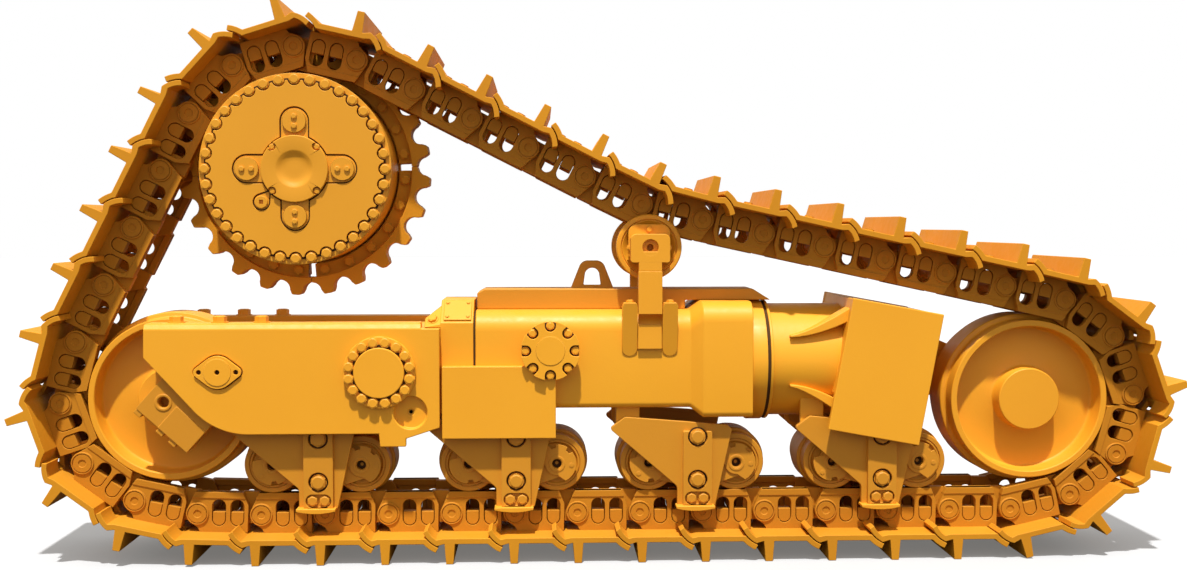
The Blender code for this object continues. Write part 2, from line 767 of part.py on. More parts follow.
def build_rear_frame():
    x = ahead(PIVOT_AHEAD)
    side = rounded(
        [
            (ahead(-0.084), FRAME_TOP, 0),
            (ahead(-0.086), FRAME_TOP - 0.162, 0),
            (ahead(0.260), FRAME_BOTTOM, 0.360),
            (x - 0.005, FRAME_BOTTOM, 0),
            (x, FRAME_BOTTOM - 0.064, 0),
            (x + 0.127, FRAME_BOTTOM - 0.064, 0),
            (x + 0.127, FRAME_BOTTOM - 0.025, 0),
            (ahead(FRAME_END), FRAME_BOTTOM + 0.029, 0),
            (ahead(FRAME_END), FRAME_TOP, 0),
        ]
    )
    clear_idler = IDLER_RADIUS + IDLER_FLANGE_RISE + 0.055
    box_end = ahead(FRAME_END) - 0.0005
    px, pz = pivot_of(0)
    lugs, lug_hole = lug_solids(0, px - LUG_RADIUS, px + LUG_RADIUS, BELLY_Z + 0.03)
    arm_top = ROLLER_Z + 0.240
    bridge = rectangle(px - LUG_RADIUS - 0.004, px + LUG_RADIUS + 0.004, arm_top + 0.019, arm_top + 0.100)
    strip = rectangle(ahead(-0.080), box_end - 0.003, FRAME_TOP - 0.042, FRAME_TOP + 0.004)
    parts = both_sides(side, PLATE_IN, PLATE_OUT)
    half = PLATE_IN + 0.005
    parts.append(box(ahead(clear_idler), box_end, -half, half, BELLY_Z, FRAME_TOP - 0.012))
    parts += both_sides(strip, 0.215, PLATE_OUT - 0.010)
    parts += both_sides(bridge, LUG_IN - 0.004, PLATE_IN + 0.006)
    parts += lugs
    dimple = hole(x + 0.150, PIVOT_Z - 0.200, 0.083, -PLATE_OUT - 0.01, -PLATE_OUT + 0.012, 16)
    reach = PLATE_OUT + 0.05
    frame = fused(parts, [hole(x, PIVOT_Z, PIVOT_RADIUS + GAP, -reach, reach, 20), lug_hole, dimple])
    piece("rear_frame", frame)
    face = PLATE_OUT + GAP
    rise = SIDE_REACH - face
    pivot = fused(
        [
            hole(x, PIVOT_Z, PIVOT_RADIUS, -PLATE_OUT, face + 0.02, 20),
            shaft(x, PIVOT_Z, PIVOT_RADIUS + 0.058, face, SIDE_REACH, 24),
        ]
    )
    piece("pivot_shaft", pivot, STEEL)
    cap = fused(
        [
            hole(x, PIVOT_Z, PIVOT_RADIUS + 0.058, -face - rise * 0.45, -face, 24),
            shaft(x, PIVOT_Z, PIVOT_RADIUS + 0.003, -SIDE_REACH, -face - rise * 0.25, 24),
        ]
    )
    piece("pivot_cap", cap)
    ox = ahead(0.274)
    oz = PIVOT_Z + 0.004
    left = (ox - 0.090, oz, 0.026)
    middle = (ox, oz, 0.081)
    right = (ox + 0.090, oz, 0.026)
    oval = belt([left, middle, right, middle], math.radians(30))
    piece("bearing_cover", across(oval, -face - 0.016, -face))


def build_main_tube():
    start = ahead(SADDLE_END)
    middle = RECOIL_Z

    def section(half, bottom, top, upper, lower):
        return rounded(
            [(-half, bottom, lower), (half, bottom, lower), (half, top, upper), (-half, top, upper)], 3
        )

    plain = section(TUBE_HALF, TUBE_BOTTOM, TUBE_TOP, 0.100, 0.030)
    wide = section(HOUSING_HALF, HOUSING_BOTTOM, HOUSING_TOP, 0.100, 0.030)
    stations = [
        (start + GAP, plain),
        (ahead(TUBE_END) - 0.060, plain),
        (ahead(TUBE_END), wide),
        (ahead(HOUSING_END), wide),
    ]
    tube = stacked([[(x, y, z) for y, z in ring] for x, ring in stations])
    px = pivot_of(2)[0]
    lugs, lug_hole = lug_solids(2, px - LUG_RADIUS, px + LUG_RADIUS, TUBE_BOTTOM + 0.03)
    bore_ring = circle(0, middle, SPIGOT_RADIUS + GAP, 24)
    cavity = along(bore_ring, ahead(RECOIL_BORE_START), ahead(HOUSING_END) + 0.05)
    piece("main_tube", fused([tube] + lugs, [cavity, lug_hole]))
    face = ahead(HOUSING_END) + GAP
    collar = fused(
        [along(circle(0, middle, COLLAR_RADIUS, 24), face, ahead(COLLAR_END))],
        [along(circle(0, middle, RECOIL_RADIUS + GAP, 24), face - 0.05, ahead(COLLAR_END) + 0.05)],
    )
    piece("tube_collar", collar)
    back = ahead(RECOIL_BORE_START) + GAP
    cylinder = fused(
        [along(circle(0, middle, CYLINDER_RADIUS, 20), back, ahead(SPIGOT_START) - 0.150)],
        [along(circle(0, middle, ROD_RADIUS + GAP, 16), back + 0.05, ahead(SPIGOT_START))],
    )
    piece("recoil_cylinder", cylinder, STEEL)


def build_saddle():
    x0 = ahead(FRAME_END) - 0.0005 + GAP
    x1 = ahead(SADDLE_END)
    outline = [
        (-TUBE_HALF, BELLY_Z),
        (TUBE_HALF, BELLY_Z),
        (TUBE_HALF, FRAME_TOP),
        (TUBE_HALF - 0.120, TUBE_TOP + 0.050),
        (-TUBE_HALF + 0.120, TUBE_TOP + 0.050),
        (-TUBE_HALF, FRAME_TOP),
    ]
    lugs, lug_hole = lug_solids(1, x0 + 0.004, pivot_of(1)[0] + LUG_RADIUS, BELLY_Z + 0.03)
    piece("saddle_block", fused([along(outline, x0, x1)] + lugs, [lug_hole]))
    face = -TUBE_HALF - GAP
    outside = -TUBE_HALF - GUARD_DEPTH
    ledge = -max(PAD_OUT, TUBE_HALF + 0.010) - 0.010
    profile = [
        (outside, GUARD_BOTTOM),
        (ledge, GUARD_BOTTOM),
        (ledge, TUBE_BOTTOM + 0.020),
        (face, TUBE_BOTTOM + 0.020),
        (face, GUARD_TOP),
        (outside, GUARD_TOP),
    ]
    piece("side_cover", along(profile, x0 + 0.011, ahead(GUARD_AHEAD)))
    tx = ahead(TRUNNION_AHEAD)
    cap = fused(
        [
            shaft(tx, TRUNNION_Z, TRUNNION_RADIUS / 2, outside - 0.015, face, 16),
            hole(tx, TRUNNION_Z, TRUNNION_RADIUS, outside - 0.037, outside - 0.0005, 24),
        ]
    )
    piece("trunnion_cap", cap)
    beam = [
        (ahead(SADDLE_END) + 0.012, TUBE_TOP + GAP),
        (ahead(TUBE_END) - 0.072, TUBE_TOP + GAP),
        (ahead(TUBE_END) - 0.072, HOUSING_TOP + GAP),
        (ahead(COLLAR_END) + 0.011, HOUSING_TOP + GAP),
        (ahead(HOUSING_END) + 0.026, BEAM_TOP),
        (ahead(SADDLE_END) + 0.012, BEAM_TOP),
    ]
    ex = ahead(EYE_AHEAD)
    eye = rounded(
        [
            (ex - 0.114, BEAM_TOP - 0.010, 0),
            (ex + 0.114, BEAM_TOP - 0.010, 0),
            (ex + 0.070, BEAM_TOP + 0.144, 0.055),
            (ex - 0.070, BEAM_TOP + 0.144, 0.055),
        ]
    )
    opening = belt(
        [(ex, BEAM_TOP + 0.059, 0.039), (ex, BEAM_TOP + 0.064, 0.039)], math.radians(36)
    )
    lifted = fused(
        [across(beam, -BEAM_HALF, BEAM_HALF), across(eye, -0.022, 0.022)],
        [across(opening, -0.05, 0.05)],
    )
    piece("top_beam", lifted)


def rail_height(x):
    """Height of the rail line over a place on the upper run, and the run's slope there."""
    for k in range(LINKS):
        a = PINS[k]
        b = PINS[(k + 1) % LINKS]
        if b[0] <= x < a[0] and (a[1] + b[1]) / 2 > SPROCKET_Z - SPROCKET_PITCH:
            slope = math.atan2(b[1] - a[1], a[0] - b[0])
            pin_line = a[1] + (a[0] - x) * math.tan(slope)
            return pin_line - PIN_TO_RAIL / math.cos(slope), slope
    raise ValueError("no link of the upper run lies over the carrier roller")


def build_carrier():
    rail, slope = rail_height(CARRIER_X)
    x = CARRIER_X
    z = rail - (CARRIER_RADIUS + GAP) / math.cos(slope)
    steps = 16
    outside = LINK_OUTER_FACE + 0.008
    profile = [
        (bore(ROLLER_AXLE, steps), -outside - 0.036),
        (CARRIER_FLANGE, -outside - 0.036),
        (CARRIER_FLANGE, -outside - 0.004),
        (CARRIER_RADIUS, -outside + 0.010),
    ]
    profile += [(radius, -y) for radius, y in reversed(profile)]
    piece("carrier_roller", revolved(x, z, profile, 20), axle=(x, z))
    inner = outside + 0.046
    face = TUBE_HALF + GAP
    foot = rectangle(x - 0.130, x + 0.130, 1.020, 1.145)
    post = rectangle(x - 0.0595, x + 0.0595, 1.030, z)
    block = rectangle(x - 0.098, x + 0.098, z - 0.075, z + 0.067)
    parts = both_sides(foot, face, face + 0.030) + both_sides(post, face + 0.001, face + 0.050)
    parts += both_sides(block, inner, face + 0.048)
    parts.append(shaft(x, z, ROLLER_AXLE, -inner - 0.01, inner + 0.01, 12))
    piece("carrier_bracket", fused(parts))


def build_front(slider_axle):
    """Telescoping tube and yoke that push the front idler out; the last bogie rides on them."""
    yx = FRONT_X - YOKE_BEHIND
    half_x = YOKE_LENGTH / 2
    half_z = YOKE_HEIGHT / 2
    plate = tilted(yx, YOKE_Z, rectangle(-half_x, half_x, -half_z, half_z), YOKE_TILT)
    core = tilted(
        yx, YOKE_Z, rectangle(-half_x + 0.003, half_x - 0.003, -half_z * 0.46, half_z - 0.003), YOKE_TILT
    )
    mouth = ahead(COLLAR_END) - 0.014
    tail = yx - half_x + 0.12
    arm_in = WHEEL_HALF_WIDTH + 0.012
    arm_out = PLATE_IN - 0.010
    arm = belt(
        [
            (yx - 0.02, YOKE_Z - 0.02, 0.08),
            (FRONT_X, FRONT_IDLER_Z, AXLE_RADIUS + 0.05),
            (yx + 0.02, YOKE_Z + 0.20, 0.08),
        ],
        math.radians(45),
    )
    px = pivot_of(3)[0]
    lugs, lug_hole = lug_solids(3, px - LUG_RADIUS, px + LUG_RADIUS, RECOIL_Z - RECOIL_RADIUS * 0.5)
    tip = ahead(COLLAR_END) + RECOIL_STROKE + 0.004
    gusset = [
        [(tip, RECOIL_Z + 0.145), (yx - half_x + 0.02, RECOIL_Z + 0.285)],
        [(tip, RECOIL_Z - 0.115), (yx - half_x - 0.03, RECOIL_Z - 0.265)],
    ]
    ribs = []
    for (ax, az), (bx, bz) in gusset:
        rise = math.copysign(0.055, bz - az)
        outline = [(ax, az), (bx + 0.06, bz), (bx + 0.06, bz - rise), (ax, az - rise / 3)]
        ribs += both_sides(outline, 0.170, PLATE_IN - 0.020)
    parts = [along(circle(0, RECOIL_Z, RECOIL_RADIUS, 24), mouth, tail)]
    parts.append(along(circle(0, RECOIL_Z, SPIGOT_RADIUS, 24), ahead(SPIGOT_START), mouth + 0.05))
    parts.append(across(core, -PLATE_IN - 0.004, PLATE_IN + 0.004))
    parts += both_sides(plate, PLATE_IN, PLATE_OUT)
    parts.append(across(arm, arm_in, arm_out))
    parts += ribs + lugs
    steps = 24
    axle_hole = hole(FRONT_X, FRONT_IDLER_Z, AXLE_RADIUS + GAP, arm_in - 0.05, arm_out + 0.05, steps)
    yoke = piece("idler_yoke", fused(parts, [axle_hole, lug_hole]), axle=slider_axle)
    rod = along(circle(0, RECOIL_Z, ROD_RADIUS, 16), ahead(SPIGOT_START) - 0.300, ahead(SPIGOT_START) - GAP)
    piece("adjuster_rod", rod, STEEL, slider_axle, yoke)
    near_end = -WHEEL_HALF_WIDTH + 0.030 + GAP
    axle = fused(
        [
            hole(FRONT_X, FRONT_IDLER_Z, AXLE_RADIUS, near_end, arm_out + 0.02, steps),
            hole(FRONT_X, FRONT_IDLER_Z, AXLE_RADIUS + 0.025, arm_out + GAP, arm_out + 0.028, 6),
        ]
    )
    piece("front_idler_shaft", axle, STEEL, (FRONT_X, FRONT_IDLER_Z), yoke)
    wheel = idler(FRONT_X, FRONT_IDLER_Z, steps, blind=True)
    piece("front_idler", wheel, axle=(FRONT_X, FRONT_IDLER_Z), parent=yoke)
    return yoke


for leftover in list(bpy.data.objects):
    bpy.data.objects.remove(leftover)

build_drive()
build_rear_idler()
build_rear_frame()
build_saddle()
build_main_tube()
build_carrier()
front = build_front((FRONT_X - YOKE_BEHIND, RECOIL_Z))
for number in range(4):
    build_bogie(number, front if number == 3 else None)
build_track()

lengths = [point[0] for point in PINS]
print("front idler X", round(FRONT_X, 4), "pins from", round(min(lengths), 4), "to", round(max(lengths), 4))
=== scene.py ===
# %% [markdown]
# # Track group of a big crawler
# The CAD file gives the bodies, their joints and plain solids, all in metres. This lesson puts the
# real object's forms and paint on that frame: cast links, bolted wheels, pressed plates and orange
# enamel. Each piece could be modelled by hand in the viewport. Here it is drawn by code, so that a
# size is changed in one place and everything that hangs on it follows.

# %% Open the frame
import math

import bmesh
import bpy
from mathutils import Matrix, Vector


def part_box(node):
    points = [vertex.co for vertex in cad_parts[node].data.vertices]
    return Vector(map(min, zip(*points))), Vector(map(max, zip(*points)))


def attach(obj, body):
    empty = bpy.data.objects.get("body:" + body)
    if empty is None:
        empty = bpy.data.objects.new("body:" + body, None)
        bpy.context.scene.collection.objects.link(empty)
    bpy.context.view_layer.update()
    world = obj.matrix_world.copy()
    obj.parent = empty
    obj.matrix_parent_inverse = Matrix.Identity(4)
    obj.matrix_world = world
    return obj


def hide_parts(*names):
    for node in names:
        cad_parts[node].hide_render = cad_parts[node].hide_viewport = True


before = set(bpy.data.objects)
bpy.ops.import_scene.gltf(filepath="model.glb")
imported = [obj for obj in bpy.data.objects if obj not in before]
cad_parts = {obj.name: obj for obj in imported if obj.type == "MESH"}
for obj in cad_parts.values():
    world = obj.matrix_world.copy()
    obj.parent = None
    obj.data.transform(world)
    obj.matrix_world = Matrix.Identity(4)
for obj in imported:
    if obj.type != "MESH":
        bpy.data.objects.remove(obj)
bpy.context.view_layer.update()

# %% [markdown]
# ## Flat outlines
# Nearly every piece is a plate or a turned wheel, so its shape is a flat outline first. An outline
# is a plain list of (x, z) points in the side view. It could be drawn as a curve object, but points
# are easier to count.

# %% Outlines


def arc(x, z, radius, start, stop, count):
    """Points along an arc, the angles in degrees."""
    angles = [math.radians(start + (stop - start) * i / (count - 1)) for i in range(count)]
    return [(x + radius * math.cos(a), z + radius * math.sin(a)) for a in angles]


def ring(x, z, radius, count, first=0.0):
    """Points evenly round a circle, from a first angle in degrees."""
    return arc(x, z, radius, first, first + 360 - 360 / count, count)


def rectangle(x0, x1, z0, z1):
    return [(x0, z0), (x1, z0), (x1, z1), (x0, z1)]


def laid(points, x, z, degrees=0.0):
    """Points given about the origin, turned and moved to their place."""
    c = math.cos(math.radians(degrees))
    s = math.sin(math.radians(degrees))
    return [(x + c * u - s * w, z + s * u + c * w) for u, w in points]


def eased(corners, steps=6):
    """Outline from (x, z, radius) corners, each with its own fillet."""
    outline = []
    for i, (x, z, radius) in enumerate(corners):
        if not radius:
            outline.append((x, z))
            continue
        here = Vector((x, z))
        back = (Vector(corners[i - 1][:2]) - here).normalized()
        on = (Vector(corners[(i + 1) % len(corners)][:2]) - here).normalized()
        half = back.angle(on) / 2
        centre = here + (back + on).normalized() * (radius / math.sin(half))
        first = here + back * (radius / math.tan(half)) - centre
        last = here + on * (radius / math.tan(half)) - centre
        start = math.degrees(math.atan2(first.y, first.x))
        sweep = (math.degrees(math.atan2(last.y, last.x)) - start + 180) % 360 - 180
        outline += arc(centre.x, centre.y, radius, start, start + sweep, steps + 1)
    return outline


def belt(circles, step=8.0):
    """Outline of a belt round (x, z, radius) circles in anticlockwise order, with about one point
    every step degrees. A circle with a negative radius bends the belt inward."""
    sides = []
    for i, (ax, az, ar) in enumerate(circles):
        bx, bz, br = circles[(i + 1) % len(circles)]
        lean = math.asin((ar - br) / math.hypot(bx - ax, bz - az))
        sides.append(math.atan2(bz - az, bx - ax) + lean - math.pi / 2)
    outline = []
    for i, normal in enumerate(sides):
        cx, cz, radius = circles[(i + 1) % len(circles)]
        sweep = (sides[(i + 1) % len(sides)] - normal) % (2 * math.pi)
        if radius < 0 and sweep > math.pi:
            sweep -= 2 * math.pi
        start = math.degrees(normal)
        stop = start + math.degrees(sweep)
        count = max(2, round(abs(stop - start) / step) + 1)
        points = arc(cx, cz, abs(radius), start, stop, count)
        if radius < 0:
            points = [(2 * cx - px, 2 * cz - pz) for px, pz in points]
        outline += points
    return outline


print("a belt round two circles has", len(belt([(0, 0, 1), (3, 0, 1)])), "points")

# %% [markdown]
# ## Solids from outlines
# A plate is its outline at two depths. A wheel is a profile turned round its axle. Both are rings
# of points with faces between neighbours, so one function makes them all. Blender's Screw modifier
# could turn a profile as well, but it leaves the seam open.

# %% Solids


def shell(rings, closed=False):
    """Mesh through rings of as many points each, closed into a loop or capped at both ends."""
    count = len(rings[0])
    spans = len(rings) if closed else len(rings) - 1
    faces = []
    for k in range(spans):
        a = k * count
        b = (k + 1) % len(rings) * count
        for i in range(count):
            j = (i + 1) % count
            faces.append((a + i, a + j, b + j, b + i))
    if not closed:
        faces += [tuple(range(count)), tuple(range(spans * count, (spans + 1) * count))]
    mesh = bpy.data.meshes.new("shell")
    mesh.from_pydata([point for each in rings for point in each], [], faces)
    work = bmesh.new()
    work.from_mesh(mesh)
    bmesh.ops.recalc_face_normals(work, faces=work.faces)
    work.to_mesh(mesh)
    work.free()
    return mesh


def slab(outline, y0, y1):
    """Plate across the track, from an (x, z) outline."""
    return shell([[(x, y, z) for x, z in outline] for y in (y0, y1)])


def on_side(side, outline, inner, outer):
    """Plate on the near (-1) or the far (1) side."""
    return slab(outline, *sorted((side * inner, side * outer)))


def both_sides(outline, inner, outer):
    """The same plate on the near and the far side."""
    return [on_side(side, outline, inner, outer) for side in (-1, 1)]


def length_of(outline, x0, x1):
    """Bar along the frame, from a (y, z) section."""
    return shell([[(x, y, z) for y, z in outline] for x in (x0, x1)])


def turned(x, z, profile, steps=96, closed=False):
    """Wheel turned about an axle across the track, from (radius, y) points."""
    return shell([[(px, y, pz) for px, pz in ring(x, z, r, steps)] for r, y in profile], closed)


def rod(x, z, radius, y0, y1, steps=40):
    """Round bar across the track, which serves as a shaft or as a drill."""
    return turned(x, z, [(radius, y0), (radius, y1)], steps)


def sleeve(x, z, outer, inner, y0, y1, steps=40):
    """Flat ring across the track."""
    return turned(x, z, [(outer, y0), (outer, y1), (inner, y1), (inner, y0)], steps, True)


def mirrored(near):
    """Whole profile of a wheel from the (radius, y) points of its near half."""
    return near + [(radius, -y) for radius, y in reversed(near)]


def spun(z, profile, steps=96, closed=False):
    """Tube turned about an axis along the frame, from (radius, x) points."""
    return shell([[(x, y, pz) for y, pz in ring(0, z, r, steps)] for r, x in profile], closed)


square = slab(rectangle(0, 1, 0, 1), 0, 1)
print("a plate from four points has", len(square.polygons), "faces")
bpy.data.meshes.remove(square)

# %% [markdown]
# A hole could be drawn as part of a plate's faces, but then the faces have to be stitched round it.
# The exact Boolean cuts through anything, so a hole is a second solid taken away from the first.
# The modifier is applied at once, because the pieces are joined and rounded afterwards.

# %% Cutting


def as_object(mesh):
    made = bpy.data.objects.new(mesh.name, mesh)
    bpy.context.scene.collection.objects.link(made)
    return made


def baked(made):
    """The object's mesh as its modifiers leave it; the modifiers go."""
    graph = bpy.context.evaluated_depsgraph_get()
    mesh = bpy.data.meshes.new_from_object(made.evaluated_get(graph))
    made.modifiers.clear()
    return mesh


def carved(mesh, cutters):
    """The mesh less the cutters."""
    body = as_object(mesh)
    tools = [as_object(cutter) for cutter in cutters]
    for tool in tools:
        cut = body.modifiers.new("cut", "BOOLEAN")
        cut.operation = "DIFFERENCE"
        cut.solver = "EXACT"
        cut.object = tool
    mesh = baked(body)
    for used in [body] + tools:
        bpy.data.objects.remove(used)
    return mesh


washer = carved(rod(0, 0, 1, 0, 1, 12), [rod(0, 0, 0.5, -1, 2, 12)])
print("a drilled disc of twelve sides has", len(washer.vertices), "points")
bpy.data.meshes.remove(washer)

# %% [markdown]
# ## Paint that looks sprayed and used
# The photographed part is painted all over in one orange enamel, the track too, and what looks
# brown is shade. An even colour would look like plastic, so four small node groups drift its tone,
# rub its edges, lay dust on what faces up and roughen it. Image textures could do this, but noise
# in Object coordinates needs no unwrapping and stays sharp.

# %% Tone drift and rubbed edges


def new_group(name, sockets):
    """Shader group with (direction, name, kind, default) sockets; returns it and its two ends."""
    tree = bpy.data.node_groups.new(name, "ShaderNodeTree")
    for direction, label, kind, value in sockets:
        made = tree.interface.new_socket(label, in_out=direction, socket_type=kind)
        if value is not None:
            made.default_value = value
    return tree, tree.nodes.new("NodeGroupInput"), tree.nodes.new("NodeGroupOutput")


def add(tree, kind, settings=None, **inputs):
    """Node with its settings and inputs: an input is a value, or another node's output."""
    made = tree.nodes.new(kind)
    for key, value in (settings or {}).items():
        setattr(made, key, value)
    for key, value in inputs.items():
        label = int(key[1:]) if key[1:].isdigit() else key.replace("_", " ")
        socket = made.inputs[label]
        if isinstance(value, bpy.types.NodeSocket):
            tree.links.new(value, socket)
        else:
            socket.default_value = value
    return made


FLOAT = "NodeSocketFloat"
VECTOR = "NodeSocketVector"
NOISE = "ShaderNodeTexNoise"
RANGE = "ShaderNodeMapRange"
MATH = "ShaderNodeMath"
TIMES = {"operation": "MULTIPLY"}
PLUS = {"operation": "ADD"}

drift_group, inlet, outlet = new_group(
    "tone_drift",
    [
        ("INPUT", "Place", VECTOR, None),
        ("INPUT", "Cloud Scale", FLOAT, 1.3),
        ("INPUT", "Speckle Scale", FLOAT, 26.0),
        ("OUTPUT", "Tone", FLOAT, None),
        ("OUTPUT", "Speckle", FLOAT, None),
    ],
)
cloud = add(drift_group, NOISE, Vector=inlet.outputs[0], Scale=inlet.outputs[1], Detail=4.0)
speckle = add(drift_group, NOISE, Vector=inlet.outputs[0], Scale=inlet.outputs[2], Detail=5.0)
soft = add(drift_group, RANGE, i0=cloud.outputs[0], i1=0.32, i2=0.70)
fine = add(drift_group, RANGE, i0=speckle.outputs[0], i1=0.35, i2=0.72)
drift_group.links.new(soft.outputs[0], outlet.inputs[0])
drift_group.links.new(fine.outputs[0], outlet.inputs[1])

rub_group, inlet, outlet = new_group(
    "edge_rub",
    [
        ("INPUT", "Place", VECTOR, None),
        ("INPUT", "Width", FLOAT, 0.006),
        ("OUTPUT", "Rub", FLOAT, None),
    ],
)
bent = add(rub_group, "ShaderNodeBevel", {"samples": 3}, Radius=inlet.outputs[1])
flat = add(rub_group, "ShaderNodeNewGeometry")
DOT = {"operation": "DOT_PRODUCT"}
turn = add(rub_group, "ShaderNodeVectorMath", DOT, i0=bent.outputs[0], i1=flat.outputs[1])
edge = add(rub_group, RANGE, i0=turn.outputs[1], i1=0.99, i2=0.78)
patches = add(rub_group, NOISE, Vector=inlet.outputs[0], Scale=14.0, Detail=4.0)
broken = add(rub_group, RANGE, i0=patches.outputs[0], i1=0.38, i2=0.62)
rubbed = add(rub_group, MATH, TIMES, i0=edge.outputs[0], i1=broken.outputs[0])
rub_group.links.new(rubbed.outputs[0], outlet.inputs[0])
print("drift and rub have", len(drift_group.nodes), "and", len(rub_group.nodes), "nodes")

# %% [markdown]
# Dust settles on what faces up, so its share comes from the normal and is broken up by a noise.
# Spray leaves a fine peel, and a cast face is lumpier than a rolled one. One group could do all of
# it, but two can be scaled apart.

# %% Dust and spray
dust_group, inlet, outlet = new_group(
    "settled_dust",
    [
        ("INPUT", "Place", VECTOR, None),
        ("INPUT", "Facing", VECTOR, None),
        ("INPUT", "Amount", FLOAT, 0.3),
        ("OUTPUT", "Dust", FLOAT, None),
    ],
)
up = add(dust_group, "ShaderNodeSeparateXYZ", i0=inlet.outputs[1])
level = add(dust_group, RANGE, i0=up.outputs[2], i1=0.35, i2=1.0)
drifts = add(dust_group, NOISE, Vector=inlet.outputs[0], Scale=5.0, Detail=6.0, Roughness=0.65)
heaped = add(dust_group, RANGE, i0=drifts.outputs[0], i1=0.34, i2=0.72)
lying = add(dust_group, MATH, TIMES, i0=level.outputs[0], i1=heaped.outputs[0])
scaled = add(dust_group, MATH, TIMES, i0=lying.outputs[0], i1=inlet.outputs[2])
dust_group.links.new(scaled.outputs[0], outlet.inputs[0])

peel_group, inlet, outlet = new_group(
    "spray_peel",
    [
        ("INPUT", "Place", VECTOR, None),
        ("INPUT", "Peel Scale", FLOAT, 170.0),
        ("INPUT", "Casting Scale", FLOAT, 38.0),
        ("INPUT", "Casting Share", FLOAT, 0.2),
        ("OUTPUT", "Height", FLOAT, None),
    ],
)
peel = add(peel_group, NOISE, Vector=inlet.outputs[0], Scale=inlet.outputs[1], Detail=2.0)
cast = add(peel_group, NOISE, Vector=inlet.outputs[0], Scale=inlet.outputs[2], Detail=6.0)
share = add(peel_group, MATH, TIMES, i0=cast.outputs[0], i1=inlet.outputs[3])
both = add(peel_group, MATH, PLUS, i0=peel.outputs[0], i1=share.outputs[0])
peel_group.links.new(both.outputs[0], outlet.inputs[0])
print("paint groups", [tree.name for tree in bpy.data.node_groups])

# %% [markdown]
# ## The finishes
# A material places the groups with its own values round one Principled shader. What is the same all
# over is set on the shader itself. One material with vertex colours could serve every piece, but
# separate ones keep each finish easy to change.

# %% How a finish is mixed
DUST = (0.66, 0.36, 0.06, 1.0)


def place_group(tree, group, **inputs):
    made = tree.nodes.new("ShaderNodeGroup")
    made.node_tree = group
    for key, value in inputs.items():
        socket = made.inputs[key.replace("_", " ")]
        if isinstance(value, bpy.types.NodeSocket):
            tree.links.new(value, socket)
        else:
            socket.default_value = value
    return made


def blended(tree, share, a, b):
    """Colour a turning into colour b where the share is 1."""
    made = add(tree, "ShaderNodeMix", {"data_type": "RGBA"}, Factor=share)
    for socket, value in ((made.inputs[6], a), (made.inputs[7], b)):
        if isinstance(value, bpy.types.NodeSocket):
            tree.links.new(value, socket)
        else:
            socket.default_value = value
    return made.outputs[2]


def scaled_by(tree, value, factor):
    return add(tree, MATH, TIMES, i0=value, i1=factor).outputs[0]


def finish(name, main, deep, rub, dust, rough, rub_share=0.5, cast=0.2, metal=0.0, shine=0.30):
    """Coat from two tones, the colour of rubbed edges, dust and (low, high) roughness."""
    material = bpy.data.materials.new(name)
    material.use_nodes = True
    tree = material.node_tree
    shader = tree.nodes["Principled BSDF"]
    shader.inputs["Metallic"].default_value = metal
    shader.inputs["Specular IOR Level"].default_value = shine
    where = add(tree, "ShaderNodeTexCoord")
    place = where.outputs["Object"]
    drift = place_group(tree, drift_group, Place=place)
    worn = place_group(tree, rub_group, Place=place)
    dusty = place_group(tree, dust_group, Place=place, Facing=where.outputs["Normal"], Amount=dust)
    grain = place_group(tree, peel_group, Place=place, Casting_Share=cast)
    coat = blended(tree, scaled_by(tree, drift.outputs["Tone"], 0.75), main, deep)
    coat = blended(tree, scaled_by(tree, drift.outputs["Speckle"], 0.10), coat, deep)
    coat = blended(tree, scaled_by(tree, worn.outputs["Rub"], rub_share), coat, rub)
    coat = blended(tree, dusty.outputs["Dust"], coat, DUST)
    tree.links.new(coat, shader.inputs["Base Color"])
    gloss = add(tree, RANGE, i0=drift.outputs["Speckle"], i3=rough[0], i4=rough[1])
    matted = add(tree, MATH, PLUS, i0=gloss.outputs[0], i1=dusty.outputs["Dust"])
    tree.links.new(matted.outputs[0], shader.inputs["Roughness"])
    height = grain.outputs["Height"]
    relief = add(tree, "ShaderNodeBump", Strength=0.10, Distance=0.004, Height=height)
    tree.links.new(relief.outputs[0], shader.inputs["Normal"])
    return material


placed = (drift_group, rub_group, dust_group, peel_group)
print("every finish places", [group.name for group in placed])

# %% [markdown]
# The frame has the cleanest coat. The wheels and the hub have slightly deeper ones, the bogies,
# rollers and top beam a clearly deeper one, and the cast links, shoes and teeth the most worn ones.
# The depth is painted shade: it stands in for shade that the photograph shows and this light does
# not give. The narrow gaps get dark sheets of painted shade. The tones could be picked by eye, but
# they were compared with the photograph in linear colour. The frame, hub and idlers came near, and
# the bogies, links, shoes and teeth still differ in places.

# %% Coats
frame_enamel = finish(
    "frame_enamel",
    main=(0.82, 0.36, 0.018, 1),
    deep=(0.77, 0.325, 0.015, 1),
    rub=(0.90, 0.47, 0.06, 1),
    dust=0.25,
    rough=(0.40, 0.50),
)
# Slightly deeper than the frame's coat: painted shade on the wheels.
wheel_enamel = finish(
    "wheel_enamel",
    main=(0.79, 0.335, 0.017, 1),
    deep=(0.72, 0.290, 0.014, 1),
    rub=(0.86, 0.42, 0.05, 1),
    dust=0.25,
    rough=(0.42, 0.54),
)
# Slightly deeper than the frame's coat: painted shade on the hub cover and cap.
hub_enamel = finish(
    "hub_enamel",
    main=(0.72, 0.310, 0.016, 1),
    deep=(0.67, 0.280, 0.014, 1),
    rub=(0.84, 0.42, 0.05, 1),
    dust=0.20,
    rough=(0.42, 0.52),
)
# Clearly deeper tone: painted shade on the bogies, rollers, blocks and top beam.
bogie_enamel = finish(
    "bogie_enamel",
    main=(0.62, 0.252, 0.014, 1),
    deep=(0.54, 0.215, 0.012, 1),
    rub=(0.72, 0.32, 0.04, 1),
    dust=0.30,
    rough=(0.46, 0.58),
    cast=0.5,
)
